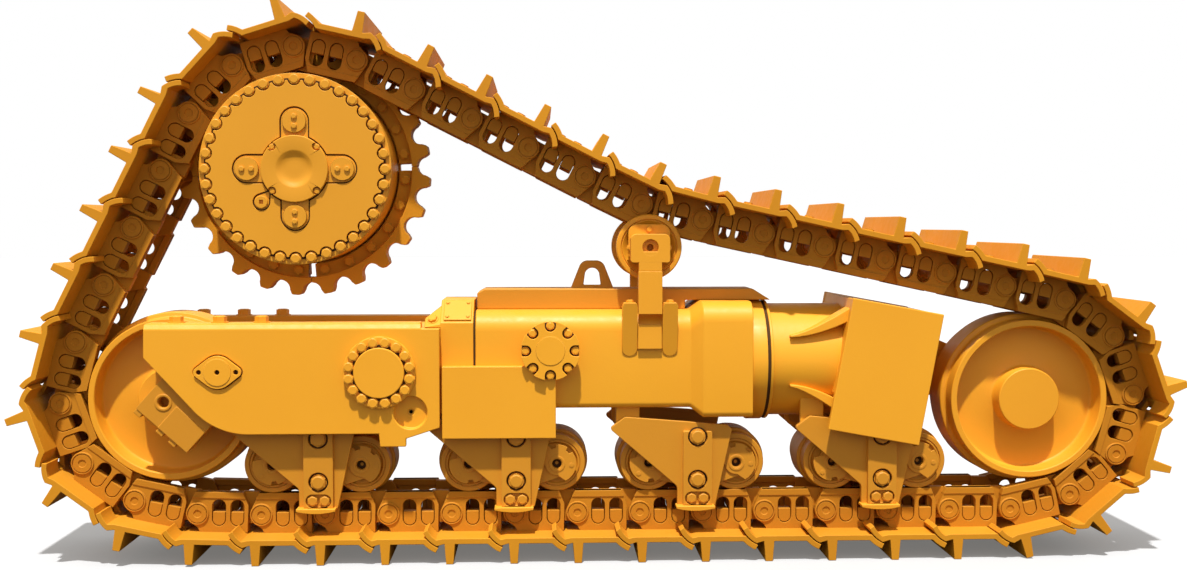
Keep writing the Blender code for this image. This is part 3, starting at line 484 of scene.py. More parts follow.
# Deep tone with more rubbed wear: the depth is painted shade on the shoes and teeth.
track_enamel = finish(
    "track_enamel",
    main=(0.64, 0.262, 0.014, 1),
    deep=(0.53, 0.206, 0.012, 1),
    rub=(0.82, 0.38, 0.05, 1),
    rub_share=0.6,
    dust=0.12,
    rough=(0.50, 0.64),
    cast=0.8,
    shine=0.12,
)
# Deepest tone with more rubbed wear: the depth is painted shade on the links.
link_enamel = finish(
    "link_enamel",
    main=(0.53, 0.206, 0.013, 1),
    deep=(0.43, 0.162, 0.011, 1),
    rub=(0.66, 0.285, 0.045, 1),
    rub_share=0.6,
    dust=0.12,
    rough=(0.50, 0.64),
    cast=0.8,
    shine=0.12,
)
bolt_enamel = finish(
    "bolt_enamel",
    main=(0.82, 0.355, 0.018, 1),
    deep=(0.72, 0.295, 0.015, 1),
    rub=(0.90, 0.47, 0.06, 1),
    dust=0.2,
    rough=(0.38, 0.48),
)
bare_steel = finish(
    "bare_steel",
    main=(0.42, 0.40, 0.37, 1),
    deep=(0.30, 0.28, 0.25, 1),
    rub=(0.60, 0.58, 0.55, 1),
    rub_share=0.7,
    dust=0.1,
    rough=(0.28, 0.42),
    cast=0.1,
    metal=1.0,
)
# Near-black brown for thin sheets of painted shade in narrow gaps.
gap_grime = finish(
    "gap_grime",
    main=(0.075, 0.034, 0.011, 1),
    deep=(0.050, 0.024, 0.009, 1),
    rub=(0.110, 0.050, 0.014, 1),
    dust=0.05,
    rough=(0.70, 0.85),
    shine=0.10,
)
coats = ("enamel", "steel", "grime")
print("finishes", [m.name for m in bpy.data.materials if m.name.endswith(coats)])

# %% [markdown]
# ## One way to finish every piece
# A real casting or cut plate has no knife-sharp edge: the small round that is left catches the
# light. Subdivision could round it, but every plate would need support loops. A Bevel modifier on
# every edge over 30 degrees does it at once, with hardened normals so that flat faces stay flat.
# The shells of a piece are joined first, so that one call finishes and ties it to its CAD body.

# %% Dress a piece


def joined(shells):
    """One mesh of several shells."""
    work = bmesh.new()
    for mesh in shells:
        work.from_mesh(mesh)
        bpy.data.meshes.remove(mesh)
    mesh = bpy.data.meshes.new("joined")
    work.to_mesh(mesh)
    work.free()
    return mesh


def softened(shells, edge, segments=2):
    """Object of the shells with their edges rounded."""
    made = as_object(joined(shells))
    made.data.polygons.foreach_set("use_smooth", [True] * len(made.data.polygons))
    bevel = made.modifiers.new("rounded edges", "BEVEL")
    bevel.width = edge
    bevel.segments = segments
    bevel.limit_method = "ANGLE"
    bevel.angle_limit = math.radians(30)
    bevel.use_clamp_overlap = False
    bevel.harden_normals = True
    made.data = baked(made)
    return made


def tie(made, name, material, body, nodes):
    """Names a finished object, paints it and hands it to its CAD body."""
    made.name = name
    made.data.name = name
    made.data.materials.clear()
    made.data.materials.append(material)
    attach(made, body)
    if nodes:
        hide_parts(*nodes)
    made.data.calc_loop_triangles()
    print(name, len(made.data.loop_triangles), "triangles")
    return made


def dress(name, shells, body, nodes=(), material=frame_enamel, edge=0.004):
    return tie(softened(shells, edge), name, material, body, nodes)


def painted_shade_sheet(name, shells, body):
    """Thin dark sheet of painted shade in a gap, which stands for no CAD node."""
    return dress(name, shells, body, (), gap_grime, 0.0004)


def axle_of(node):
    """Place of a round node's axle in the side view."""
    low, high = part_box(node)
    return ((low.x + high.x) / 2, (low.z + high.z) / 2)


DRIVE = axle_of("drive_hub")
REAR = axle_of("rear_idler")
FRONT = axle_of("front_idler")
CARRIER = axle_of("carrier_roller")
print("axles", [tuple(round(v, 3) for v in place) for place in (DRIVE, REAR, FRONT, CARRIER)])

# %% [markdown]
# ## Bolts
# Several hundred hexagon heads hold the real object together. Placing them one by one would be
# slow, so a Geometry Nodes tree sets a head with a washer on every point of a list. Each point
# carries the way it faces, its size and how far it is turned. The tree ends in Realize Instances,
# because only real faces can be exported.

# %% Bolt tree


def bolt_tree():
    tree = bpy.data.node_groups.new("bolts_on_points", "GeometryNodeTree")
    sizes = (
        ("Head Height", 0.62),
        ("Washer Radius", 1.24),
        ("Washer Height", 0.14),
        ("Chamfer", 0.10),
    )
    tree.interface.new_socket("Places", in_out="INPUT", socket_type="NodeSocketGeometry")
    for label, value in sizes:
        tree.interface.new_socket(label, in_out="INPUT", socket_type=FLOAT).default_value = value
    tree.interface.new_socket("Coat", in_out="INPUT", socket_type="NodeSocketMaterial")
    tree.interface.new_socket("Bolts", in_out="OUTPUT", socket_type="NodeSocketGeometry")
    given = tree.nodes.new("NodeGroupInput").outputs
    last = tree.nodes.new("NodeGroupOutput")

    def raised(kind, depth, settings, **inputs):
        """A primitive that stands on the plane instead of round it."""
        made = add(tree, kind, settings, Depth=depth, **inputs)
        half = add(tree, MATH, TIMES, i0=depth, i1=0.5)
        lift = add(tree, "ShaderNodeCombineXYZ", Z=half.outputs[0])
        mesh = made.outputs["Mesh"]
        moved = add(tree, "GeometryNodeTransform", Geometry=mesh, Translation=lift.outputs[0])
        return moved.outputs[0]

    drum = "GeometryNodeMeshCylinder"
    washer = raised(drum, given["Washer Height"], None, Vertices=16, Radius=given["Washer Radius"])
    head = raised(drum, given["Head Height"], None, Vertices=6, Radius=1.0)
    cone = add(
        tree,
        "GeometryNodeMeshCone",
        None,
        Vertices=12,
        Radius_Top=0.72,
        Radius_Bottom=0.86,
        Depth=given["Chamfer"],
    )
    top = add(tree, "ShaderNodeCombineXYZ", Z=given["Head Height"]).outputs[0]
    cap = add(tree, "GeometryNodeTransform", Geometry=cone.outputs["Mesh"], Translation=top)
    bolt = tree.nodes.new("GeometryNodeJoinGeometry")
    for shape in (washer, head, cap.outputs[0]):
        tree.links.new(shape, bolt.inputs[0])
    stored = "GeometryNodeInputNamedAttribute"
    facing = add(tree, stored, {"data_type": "FLOAT_VECTOR"}, Name="facing")
    size = add(tree, stored, {"data_type": "FLOAT"}, Name="size")
    turn = add(tree, stored, {"data_type": "FLOAT"}, Name="turn")
    align = add(tree, "FunctionNodeAlignRotationToVector", {"axis": "Z"}, Vector=facing.outputs[0])
    twist = add(tree, "FunctionNodeAxisAngleToRotation", None, Axis=(0, 0, 1), Angle=turn.outputs[0])
    own_axes = {"rotation_space": "LOCAL"}
    stance = add(
        tree, "FunctionNodeRotateRotation", own_axes, i0=align.outputs[0], i1=twist.outputs[0]
    )
    spread = add(
        tree,
        "GeometryNodeInstanceOnPoints",
        None,
        Points=given["Places"],
        Instance=bolt.outputs[0],
        Rotation=stance.outputs[0],
        Scale=size.outputs[0],
    )
    real = add(tree, "GeometryNodeRealizeInstances", None, i0=spread.outputs[0]).outputs[0]
    coated = add(tree, "GeometryNodeSetMaterial", None, Geometry=real, Material=given["Coat"])
    tree.links.new(coated.outputs[0], last.inputs[0])
    return tree


BOLT_TREE = bolt_tree()
print("bolt tree has", len(BOLT_TREE.nodes), "nodes")

# %% [markdown]
# The places could be empties set by hand, but a mesh of bare points with three stored attributes
# goes straight into the tree. The result is kept as the object's own mesh, painted and tied to its
# body like every other piece.

# %% Placing bolts


def with_tree(made, tree, **inputs):
    """Runs a node tree on an object and keeps the result as its mesh."""
    modifier = made.modifiers.new("nodes", "NODES")
    modifier.node_group = tree
    for item in tree.interface.items_tree:
        if item.item_type == "SOCKET" and item.in_out == "INPUT" and item.name in inputs:
            modifier[item.identifier] = inputs[item.name]
    made.data = baked(made)
    return made


def bolts(name, places, body, material=bolt_enamel, slot="yellow_paint", **sizes):
    """Bolt heads at (point, facing, head radius, turn) places, all on one body."""
    points = bpy.data.meshes.new(name)
    points.from_pydata([place[0] for place in places], [], [])
    layer = points.attributes.new("facing", "FLOAT_VECTOR", "POINT")
    layer.data.foreach_set("vector", [v for place in places for v in place[1]])
    for label, index in (("size", 2), ("turn", 3)):
        layer = points.attributes.new(label, "FLOAT", "POINT")
        layer.data.foreach_set("value", [place[index] for place in places])
    made = with_tree(as_object(points), BOLT_TREE, Coat=material, **sizes)
    return tie(made, name, material, body, ())


def bolt_ring(x, z, y, radius, count, size, first=0.0, side=-1):
    """Places of bolts evenly round an axle, facing out on the near (-1) or the far (1) side."""
    places = []
    for i, (px, pz) in enumerate(ring(x, z, radius, count, first)):
        places.append(((px, y, pz), (0, side, 0), size, i * 0.7))
    return places


print("a ring of bolts has", len(bolt_ring(0, 0, 0, 1, 16, 0.1)), "places")

# %% [markdown]
# ## Where the chain lies
# The track is a closed chain of 41 links. Its pins run on a belt round the ground bends, the two
# idlers, the drive wheel and an inward bend over the carrier roller. A curve resampled by length
# would space them along the arc, but a rigid link spans the straight distance, so the pins are
# found by walking the belt one pitch at a time.

# %% Chain pins
PITCH = 0.318
LINKS = 41
PIN_Z = 0.220
RAIL = 0.111
DRIVE_PITCH = PITCH / (2 * math.sin(math.pi / 12))
IDLER_PITCH = math.hypot(0.4053 + RAIL, PITCH / 2)
SAG = math.radians(19)
SAG_Z = 1.770
GROUND_BEND = 0.300
GROUND_START = 0.206
GROUND_STOP = 0.090
FIRST_PIN = 0.241


def chain_pins():
    """Pins from the one nearest the rear end of the ground run, in the order of the belt."""
    circles = [
        (REAR[0] + GROUND_START, PIN_Z + GROUND_BEND, GROUND_BEND),
        (FRONT[0] - GROUND_STOP, PIN_Z + GROUND_BEND, GROUND_BEND),
        (*FRONT, IDLER_PITCH),
        (CARRIER[0] + math.sin(SAG), SAG_Z + math.cos(SAG), -1.0),
        (*DRIVE, DRIVE_PITCH),
        (*REAR, IDLER_PITCH),
    ]
    corners = [Vector(point) for point in belt(circles, 0.25)]
    bend = Vector((REAR[0] + GROUND_START, PIN_Z))
    start = min(range(len(corners)), key=lambda i: (corners[i] - bend).length)
    corners = [corners[start] + Vector((FIRST_PIN, 0))] + corners[start + 1 :] + corners[: start + 1]
    pins = [corners[0]]
    index = 0
    while len(pins) < LINKS:
        behind = pins[-1]
        while (corners[index + 1] - pins[-1]).length < PITCH:
            index += 1
            behind = corners[index]
        low, high = 0.0, 1.0
        for _ in range(40):
            share = (low + high) / 2
            spot = behind.lerp(corners[index + 1], share)
            if (spot - pins[-1]).length < PITCH:
                low = share
            else:
                high = share
        pins.append(spot)
    return pins


PINS = chain_pins()
print("chain closes with a gap of", round(((PINS[0] - PINS[-1]).length - PITCH) * 1000, 2), "mm")

# %% [markdown]
# ## One link of the track
# A link is two cast side bars with a bushing pressed between them. Each bar stands outside at its
# pin end and steps inward to pass behind the next bar's boss. Two arched windows let the shoe bolts
# in, and a nut block fills the lower half of each. The far bar's windows stop a little lower, since
# the photograph lets little light through them. A bar could be pulled out of a cube, but drawn
# flat, with u along the link and w toward the rail, its pitch is exact.

# %% Link
BAR_OUT = 0.190
BAR_IN = 0.152
WINDOWS = (0.1055, 0.197)
WINDOW_TOPS = {-1: 0.0385, 1: 0.0245}


def side_bar(side):
    """Shells of the bar on one side."""

    def plate(outline, inner, outer):
        return slab(outline, side * inner, side * outer)

    face = [(-0.012, RAIL)] + arc(0, 0, 0.058, 168, 232, 7)
    face += [(0.0, -0.070), (0.012, -0.093), (0.250, -0.093), (0.252, 0.045), (0.224, RAIL)]
    openings = []
    for u in WINDOWS:
        hole = belt([(u, -0.0275, 0.0345), (u, WINDOW_TOPS[side], 0.0345)], 15)
        openings.append(plate(hole, BAR_IN - 0.02, BAR_OUT + 0.02))
    shells = [carved(plate(face, BAR_IN, BAR_OUT), openings)]
    rail = [(-0.0285, 0.079), (0.2375, 0.079), (0.224, RAIL), (-0.012, RAIL)]
    shells.append(plate(rail, BAR_IN - 0.012, BAR_OUT + 0.005))
    tail = [(0.216, 0.109), (0.300, 0.109)] + arc(PITCH, 0, 0.054, 58, -96, 12)
    tail += [(0.245, -0.052), (0.216, -0.075)]
    shells.append(plate(tail, 0.1135, 0.1515))
    step = [(0.232, -0.092), (0.2495, -0.092), (0.2512, 0.045)]
    step += [(0.2245, 0.110), (0.2145, 0.110), (0.2335, 0.045)]
    shells.append(plate(step, 0.115, BAR_OUT - 0.001))
    for u in WINDOWS:
        nut = [(u + 0.031, 0.010)] + arc(u, -0.0275, 0.031, 0, -180, 9) + [(u - 0.031, 0.010)]
        shells.append(plate(nut[::-1], 0.130, BAR_OUT - 0.004))
    return shells


def pin_end(side):
    """Turned end of the pin in its boss: a raised ring, a groove and a centre dimple."""
    steps = [(0.057, 0.150), (0.057, 0.1945), (0.054, 0.1985), (0.0505, 0.1985), (0.0495, 0.1915)]
    steps += [(0.0455, 0.1915), (0.0445, 0.1975), (0.0205, 0.1975), (0.0180, 0.1925), (0.007, 0.1925)]
    return turned(0, 0, [(radius, side * y) for radius, y in steps], 28)


bars = softened(side_bar(-1) + side_bar(1), 0.0022, 1)
bushing = rod(PITCH, 0, 0.046, -0.1325, 0.1325, 20)
turned_parts = as_object(joined([pin_end(-1), pin_end(1), bushing]))
turned_parts.data.polygons.foreach_set("use_smooth", [True] * len(turned_parts.data.polygons))
turned_parts.data.set_sharp_from_angle(angle=math.radians(28))
link_source = as_object(joined([bars.data.copy(), turned_parts.data.copy()]))
for used in (bars, turned_parts):
    bpy.data.objects.remove(used)
print("one link has", len(link_source.data.polygons), "faces")

# %% [markdown]
# ## The shoe under each link
# The shoe is a rolled plate as wide as the track, with one tall cleat under the pin. One end lifts
# toward the links and the other folds out beneath the next shoe, so that the joint stays covered
# when the chain bends. Both ends follow arcs about the pins, since that is the path they sweep. A
# Solidify modifier could thicken a bent sheet, but the cleat is deeper than the plate, so the whole
# profile is drawn. The lifted end is cut away where the bars of the link behind pass it, and four
# bolt heads show on the ground side.

# %% Shoe
SHOE_HALF = 0.355
SHOE_TOP = -0.092
SHOE_BASE = -0.120
CLEAT_TIP = -0.220
LAP = 0.1497


def shoe_shells():
    profile = arc(0, 0, LAP - 0.005, 205, 244, 8) + [(-0.030, SHOE_BASE), (-0.026, SHOE_BASE)]
    profile += [(-0.018, CLEAT_TIP), (0.018, CLEAT_TIP), (0.026, SHOE_BASE), (0.186, SHOE_BASE)]
    profile += arc(PITCH, 0, LAP + 0.027, -136, -113, 6) + arc(PITCH, 0, LAP, -112, -142.1, 6)
    profile += [(-0.036, SHOE_TOP)] + arc(0, 0, LAP - 0.031, 236, 203, 8)
    bar_room = rectangle(-0.170, -0.064, SHOE_TOP - 0.0025, 0.0)
    shells = [carved(slab(profile, -SHOE_HALF, SHOE_HALF), both_sides(bar_room, 0.110, 0.194))]
    for u in WINDOWS:
        for y in (-0.171, 0.171):
            heads = ((0.025, 0.004), (0.025, -0.013), (0.020, -0.017))
            rings = [[(px, py, SHOE_BASE + w) for px, py in ring(u, y, r, 6)] for r, w in heads]
            shells.append(shell(rings))
    return shells


shoe_source = softened(shoe_shells(), 0.003)
print("one shoe has", len(shoe_source.data.polygons), "faces")

# %% [markdown]
# ## The whole track
# All 41 links are one shape, so a second node tree sets a copy on every pin and turns it along the
# chain. An Array modifier along a curve could repeat them too, but the curve would bend the links.
# The lean of each link is stored on its point. The links and the shoes are two runs of the tree and
# stand for the sixteen CAD sections, which are plainer.

# %% Track


def chain_tree():
    tree = bpy.data.node_groups.new("links_on_pins", "GeometryNodeTree")
    tree.interface.new_socket("Pins", in_out="INPUT", socket_type="NodeSocketGeometry")
    tree.interface.new_socket("Link", in_out="INPUT", socket_type="NodeSocketObject")
    tree.interface.new_socket("Coat", in_out="INPUT", socket_type="NodeSocketMaterial")
    tree.interface.new_socket("Chain", in_out="OUTPUT", socket_type="NodeSocketGeometry")
    given = tree.nodes.new("NodeGroupInput").outputs
    last = tree.nodes.new("NodeGroupOutput")
    link = add(tree, "GeometryNodeObjectInfo", None, Object=given["Link"])
    lean = add(tree, "GeometryNodeInputNamedAttribute", {"data_type": "FLOAT"}, Name="lean")
    turn = add(tree, "FunctionNodeAxisAngleToRotation", None, Axis=(0, -1, 0), Angle=lean.outputs[0])
    copies = add(
        tree,
        "GeometryNodeInstanceOnPoints",
        None,
        Points=given["Pins"],
        Instance=link.outputs["Geometry"],
        Rotation=turn.outputs[0],
    )
    real = add(tree, "GeometryNodeRealizeInstances", None, i0=copies.outputs[0]).outputs[0]
    coated = add(tree, "GeometryNodeSetMaterial", None, Geometry=real, Material=given["Coat"])
    tree.links.new(coated.outputs[0], last.inputs[0])
    return tree


CHAIN_TREE = chain_tree()
SECTIONS = sorted(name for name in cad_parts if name.startswith("track_"))


def chain_of(source, name, coat):
    """Copies of a link or shoe on all the pins."""
    points = bpy.data.meshes.new(name)
    points.from_pydata([(pin.x, 0, pin.y) for pin in PINS], [], [])
    steps = [PINS[(k + 1) % LINKS] - PINS[k] for k in range(LINKS)]
    layer = points.attributes.new("lean", "FLOAT", "POINT")
    layer.data.foreach_set("value", [math.atan2(step.y, step.x) for step in steps])
    made = with_tree(as_object(points), CHAIN_TREE, Link=source, Coat=coat)
    bpy.data.objects.remove(source)
    return tie(made, name, coat, "frame", SECTIONS)


chain_of(link_source, "track_links", link_enamel)
chain_of(shoe_source, "track_shoes", track_enamel)

# %% [markdown]
# ## The toothed ring
# The drive wheel wears a bolted ring of four toothed segments, so that worn teeth are changed
# without splitting the track. The pockets could be cut out of a disc with 24 Booleans, but arcs
# about the bushings fit just as well and stay light. There are two pockets for each link. One
# segment is drawn and turned three times, with a narrow slot left between neighbours.

# %% Sprocket segments
TEETH = 24
STEP = 360 / TEETH
POCKET = 0.0485
meshed = next(p for p in PINS if (p - Vector(DRIVE)).length < DRIVE_PITCH + 0.001) - Vector(DRIVE)
TOOTH_START = math.degrees(math.atan2(meshed.y, meshed.x)) + 2 * STEP


def spoke(radius, degrees):
    """Point at an angle about the drive wheel's axle."""
    return arc(*DRIVE, radius, degrees, degrees, 2)[0]


def segment_shells(start):
    """Toothed rim and the thinner flange that is bolted to the hub."""
    low = start + 0.08
    high = start + 90 - 0.08
    teeth = [spoke(DRIVE_PITCH - POCKET, low)]
    for k in range(TEETH // 4 + 1):
        angle = start + k * STEP
        pocket = arc(*spoke(DRIVE_PITCH, angle), POCKET, angle + 260, angle + 100, 13)
        if k == 0:
            pocket = pocket[8:]
        if k == TEETH // 4:
            pocket = pocket[:5]
        teeth += pocket
        if k < TEETH // 4:
            middle = angle + STEP / 2
            for rise, turn in ((0.012, -2.05), (0.0166, -1.6), (0.0166, 1.6), (0.012, 2.05)):
                teeth.append(spoke(DRIVE_PITCH + rise, middle + turn))
    teeth.append(spoke(DRIVE_PITCH - POCKET, high))
    teeth += arc(*DRIVE, 0.539, high, low, 25)
    slot_half = 2.0
    flange = arc(*DRIVE, 0.551, start + slot_half, start + 90 - slot_half, 25)
    flange += arc(*DRIVE, 0.4725, start + 90 - slot_half, start + slot_half, 25)
    return [slab(teeth, -0.062, 0.062), slab(flange, -0.021, 0.045)]


segments = [piece for k in range(4) for piece in segment_shells(TOOTH_START + 90 * k)]
SEGMENT_NODES = [f"sprocket_segment_{k}" for k in range(1, 5)]
dress("toothed_ring", segments, "sprocket", SEGMENT_NODES, track_enamel, 0.0035)
ring_bolts = bolt_ring(*DRIVE, -0.021, 0.505, TEETH, 0.026, TOOTH_START + STEP / 2)
SLIM_WASHER = {"Washer Radius": 1.05}
bolts("toothed_ring_bolts", ring_bolts, "sprocket", track_enamel, "wheel_paint", **SLIM_WASHER)

# %% [markdown]
# ## The final drive hub
# Inside the toothed ring is a drum full of gears. It is turned from one profile, and its back
# flange is notched where the segments part. The flange could be a separate notched plate, but four
# small cutters leave the drum in one piece.

# %% Hub drum
drum = turned(
    *DRIVE,
    [
        (0.462, -0.3302),
        (0.462, 0.0453),
        (0.530, 0.0453),
        (0.530, 0.085),
        (0.2504, 0.085),
        (0.2504, 0.030),
        (0.400, 0.030),
        (0.400, -0.3302),
    ],
    128,
    True,
)
notches = []
for k in range(4):
    slot_box = laid(rectangle(0.472, 0.545, -0.018, 0.018), *DRIVE, TOOTH_START + 90 * k)
    notches.append(slab(slot_box, 0.040, 0.095))
drum = carved(drum, notches)
dress("hub_drum", [drum], "sprocket", ["drive_hub"], wheel_enamel, 0.004)

# %% [markdown]
# A thick cover closes the drum. Its raised face is scalloped round each of 36 bolts. Drawing the
# scallops as arcs in one outline is lighter than cutting 36 holes. The recesses for the centre cap,
# its ears and the fill plug are cut a little too wide, so that a thin gap is left.

# %% Hub cover
COVER_BOLTS = 36
COVER_CIRCLE = 0.4365
scallops = []
for k in range(COVER_BOLTS):
    angle = 360 / COVER_BOLTS * k
    scallops += arc(*spoke(COVER_CIRCLE, angle), 0.0330, angle + 258, angle + 102, 9)
COVER_FACE = -0.3523
COVER_BASE = -0.3365
EAR_REACH = 0.231
CAP_RADIUS = 0.163
plug_x, plug_z = DRIVE[0] - 0.162, DRIVE[1] - 0.161


def ear(angle, radius):
    """Outline of one ear of the centre cap, from under the cap to its tip."""
    return belt([(*spoke(EAR_REACH, angle), radius), (*spoke(0.12, angle), radius)])


def plug_drop(radius):
    return belt([(plug_x, plug_z, radius), (plug_x + 0.033, plug_z + 0.043, radius - 0.030)])


CLEAR = 0.0065
recesses = [rod(*DRIVE, CAP_RADIUS + CLEAR, -0.33, -0.40, 96)]
recesses += [slab(ear(90 * k, 0.065 + CLEAR), -0.40, -0.33) for k in range(4)]
recesses.append(slab(plug_drop(0.036 + CLEAR), -0.40, -0.33))
cover = [
    turned(*DRIVE, [(0.462, -0.3305), (0.466, -0.3325), (0.466, -0.3350), (0.464, COVER_BASE)], 128),
    carved(slab(scallops, COVER_FACE, COVER_BASE + 0.001), recesses),
]
dress("hub_cover_plate", cover, "sprocket", ["hub_cover"], hub_enamel, 0.002)
cover_bolts = bolt_ring(*DRIVE, COVER_BASE, COVER_CIRCLE, COVER_BOLTS, 0.0262)
bolts("hub_cover_bolts", cover_bolts, "sprocket", hub_enamel, "wheel_paint", **SLIM_WASHER)

# %% [markdown]
# The centre cap has a dished middle, four ears that each carry two screws, four screws in notches
# of its rim and a fill plug beside it. The ears are short belts round two circles, with a raised
# round pad on each. They lie in a recess of the cover, and the thin gap left round them shows as a
# dark line. The plug is a teardrop with a square socket.

# %% Hub cap and fill plug
CAP_FACE = -0.371
PAD_FACE = -0.363
cap_steps = [
    (CAP_RADIUS, COVER_BASE),
    (CAP_RADIUS, CAP_FACE + 0.0035),
    (0.1605, CAP_FACE),
    (0.094, CAP_FACE),
    (0.087, CAP_FACE + 0.0015),
    (0.074, CAP_FACE + 0.0095),
    (0.058, CAP_FACE + 0.0145),
    (0.040, CAP_FACE + 0.0160),
    (0.020, CAP_FACE + 0.0155),
]
cap_notches = []
cap_bolts = []
for x, z in ring(*DRIVE, 0.152, 4, 45):
    cap_notches.append(rod(x, z, 0.0195, CAP_FACE + 0.017, -0.40, 24))
    cap_bolts.append(((x, CAP_FACE + 0.017, z), (0, -1, 0), 0.0145, 0.2))
cap = [carved(turned(*DRIVE, cap_steps), cap_notches)]
for k in range(4):
    angle = 90 * k
    tip = spoke(EAR_REACH, angle)
    cap.append(slab(ear(angle, 0.065), -0.3475, COVER_BASE))
    pad = [(0.058, COVER_BASE), (0.058, PAD_FACE + 0.003), (0.0555, PAD_FACE), (0.020, PAD_FACE)]
    cap.append(turned(*tip, pad, 48))
    for shift in (-0.0235, 0.0235):
        x, z = laid([(shift, 0)], *tip, 0 if k % 2 == 0 else 90)[0]
        cap_bolts.append(((x, PAD_FACE + 0.0006, z), (0, -1, 0), 0.0145, 0.3))
dress("hub_cap_disc", cap, "sprocket", ["hub_cap"], hub_enamel, 0.002)
bolts("hub_cap_bolts", cap_bolts, "sprocket", hub_enamel, "wheel_paint", **{"Washer Radius": 1.02})
plug = turned(plug_x, plug_z, [(0.031, COVER_BASE), (0.031, -0.3585), (0.029, -0.361)], 40)
socket_square = rectangle(plug_x - 0.0095, plug_x + 0.0095, plug_z - 0.0095, plug_z + 0.0095)
plug = carved(plug, [slab(socket_square, -0.38, -0.346)])
fill_plug = [slab(plug_drop(0.036), -0.3475, COVER_BASE), plug]
dress("hub_fill_plug", fill_plug, "sprocket", (), hub_enamel, 0.0015)

# %% [markdown]
# The gaps round the cap, its ears, the plug and the cover's bolts are darkened with painted shade.
# Painting them by hand would need a texture. Thin dark plates just below the faces paint the shade
# with geometry.

# %% Painted shade on the hub
SHADE_SHEET_FACE = -0.3440
FILL = CLEAR - 0.0005
hub_gaps = [rod(*DRIVE, CAP_RADIUS + FILL, COVER_BASE, SHADE_SHEET_FACE, 96)]
hub_gaps += [slab(ear(90 * k, 0.065 + FILL), SHADE_SHEET_FACE, COVER_BASE) for k in range(4)]
hub_gaps.append(slab(plug_drop(0.036 + FILL), SHADE_SHEET_FACE, COVER_BASE))
hub_gaps.append(sleeve(*DRIVE, 0.441, 0.402, -0.336, -0.338, 128))
painted_shade_sheet("hub_grime", hub_gaps, "sprocket")

# %% [markdown]
# ## Idlers
# The two end wheels only guide the track. They are dished castings: a thick rim, a deep web and a
# plain hub, with a raised band round the middle that runs between the link rails. Rim, web and hub
# could be separate rings, but one turned profile makes both sides of both wheels without a seam.

# %% Idlers


def idler_profile():
    """(radius, y) from the near hub face round the rim to the far hub face."""
    hub = [(0.153, -0.193), (0.157, -0.189), (0.160, -0.118), (0.166, -0.107), (0.180, -0.101)]
    dish = [(0.344, -0.094), (0.357, -0.096), (0.364, -0.103), (0.3675, -0.114), (0.372, -0.187)]
    rim = [(0.376, -0.193), (0.402, -0.193), (0.405, -0.189), (0.405, -0.102), (0.411, -0.096)]
    return mirrored(hub + dish + rim + [(0.428, -0.092), (0.432, -0.087)])


def idler(name, place, node):
    wheel = turned(*place, idler_profile(), 112)
    return dress(name, [wheel], node, [node], wheel_enamel, 0.002)


idler("rear_idler_wheel", REAR, "rear_idler")
idler("front_idler_wheel", FRONT, "front_idler")

# %% [markdown]
# The rear idler turns on a shaft held in two tilted bearing blocks. Each block has a drilled shaft
# end with a raised ring, and three square tabs stick out of its lower edge. The blocks could be
# built level and rotated as objects. Turning their outlines instead keeps every object's axes those
# of the frame.

# %% Rear idler blocks
BLOCK_TILT = -42
BLOCK_OUT = 0.3097
block = [(x, z, 0.012) for x, z in rectangle(-0.083, 0.250, -0.112, 0.190)]
block = laid(eased(block), *REAR, BLOCK_TILT)
holders = []
for side in (-1, 1):
    outer = side * BLOCK_OUT
    bore = rod(*REAR, 0.026, outer * 0.75, outer * 1.05)
    holders.append(carved(on_side(side, block, 0.205, BLOCK_OUT), [bore]))
    holders.append(sleeve(*REAR, 0.043, 0.029, outer * 0.99, outer * 1.016))
    ledge = laid(rectangle(0.060, 0.250, -0.112, 0.030), *REAR, BLOCK_TILT)
    holders.append(slab(ledge, outer * 0.96, outer * 1.012))
    for u in (-0.058, 0.085, 0.165):
        tab = laid(rectangle(u - 0.021, u + 0.021, -0.136, -0.105), *REAR, BLOCK_TILT)
        holders.append(slab(tab, outer * 0.78, outer * 0.985))
holders.append(rod(*REAR, 0.060, -0.235, 0.235, 48))
stands_for = ["rear_idler_carrier"]
dress("rear_idler_blocks", holders, "frame", stands_for, bogie_enamel, 0.004)

# %% [markdown]
# ## Track rollers
# Eight small flanged rollers carry the weight on the link rails. Their faces show a rim, a fine
# groove and a recess. Linked copies of one mesh would be lighter, but each roller is a body of its
# own, so each gets its own mesh with its place in the vertices.

# %% Rollers
ROLLERS = [axle_of(f"roller_{k}") for k in range(1, 9)]


def roller_profile():
    face = [(0.042, -0.182), (0.098, -0.182), (0.103, -0.186), (0.106, -0.193), (0.1135, -0.193)]
    groove = [(0.1145, -0.186), (0.1185, -0.186), (0.1195, -0.193), (0.139, -0.193)]
    tread = [(0.143, -0.189), (0.143, -0.099), (0.147, -0.094), (0.155, -0.091), (0.158, -0.086)]
    return mirrored(face + groove + tread)


for number, place in enumerate(ROLLERS, 1):
    wheel = turned(*place, roller_profile(), 64)
    node = f"roller_{number}"
    dress(f"roller_wheel_{number}", [wheel], node, [node], bogie_enamel, 0.0012)

# %% [markdown]
# ## Roller carriages
# Two rollers share a pair of cheeks that can rock, so both stay on the rail. Over each shaft end
# sits a retainer with a flat on one side and two notches, held by small screws. It could be cut
# from a disc, but an outline that leaves out the flat and the notches needs no Boolean. Dark rings
# of painted shade sit in the shaft ends.

# %% Carriages
BOGIE_X = [(ROLLERS[2 * k][0] + ROLLERS[2 * k + 1][0]) / 2 for k in range(4)]
ROLLER_Z = ROLLERS[0][1]


def carriage_pivot(x, z):
    """Pin that a carriage rocks on, from the middle of its bogie."""
    return (x + 0.025, z - 0.0765)


def retainer(x, z, lean):
    """Notched disc outline; the lean turns its flat."""
    outline = []
    for start, stop in ((-38, 62), (82, 118)):
        outline += arc(0, 0, 0.098, start, stop, 9)
        outline += arc(0, 0, 0.080, stop + 2, stop + 18, 3)
    outline += arc(0, 0, 0.098, 140, 196, 7) + arc(0, 0, 0.060, 216, 300, 5)
    return laid(outline, x, z, lean)


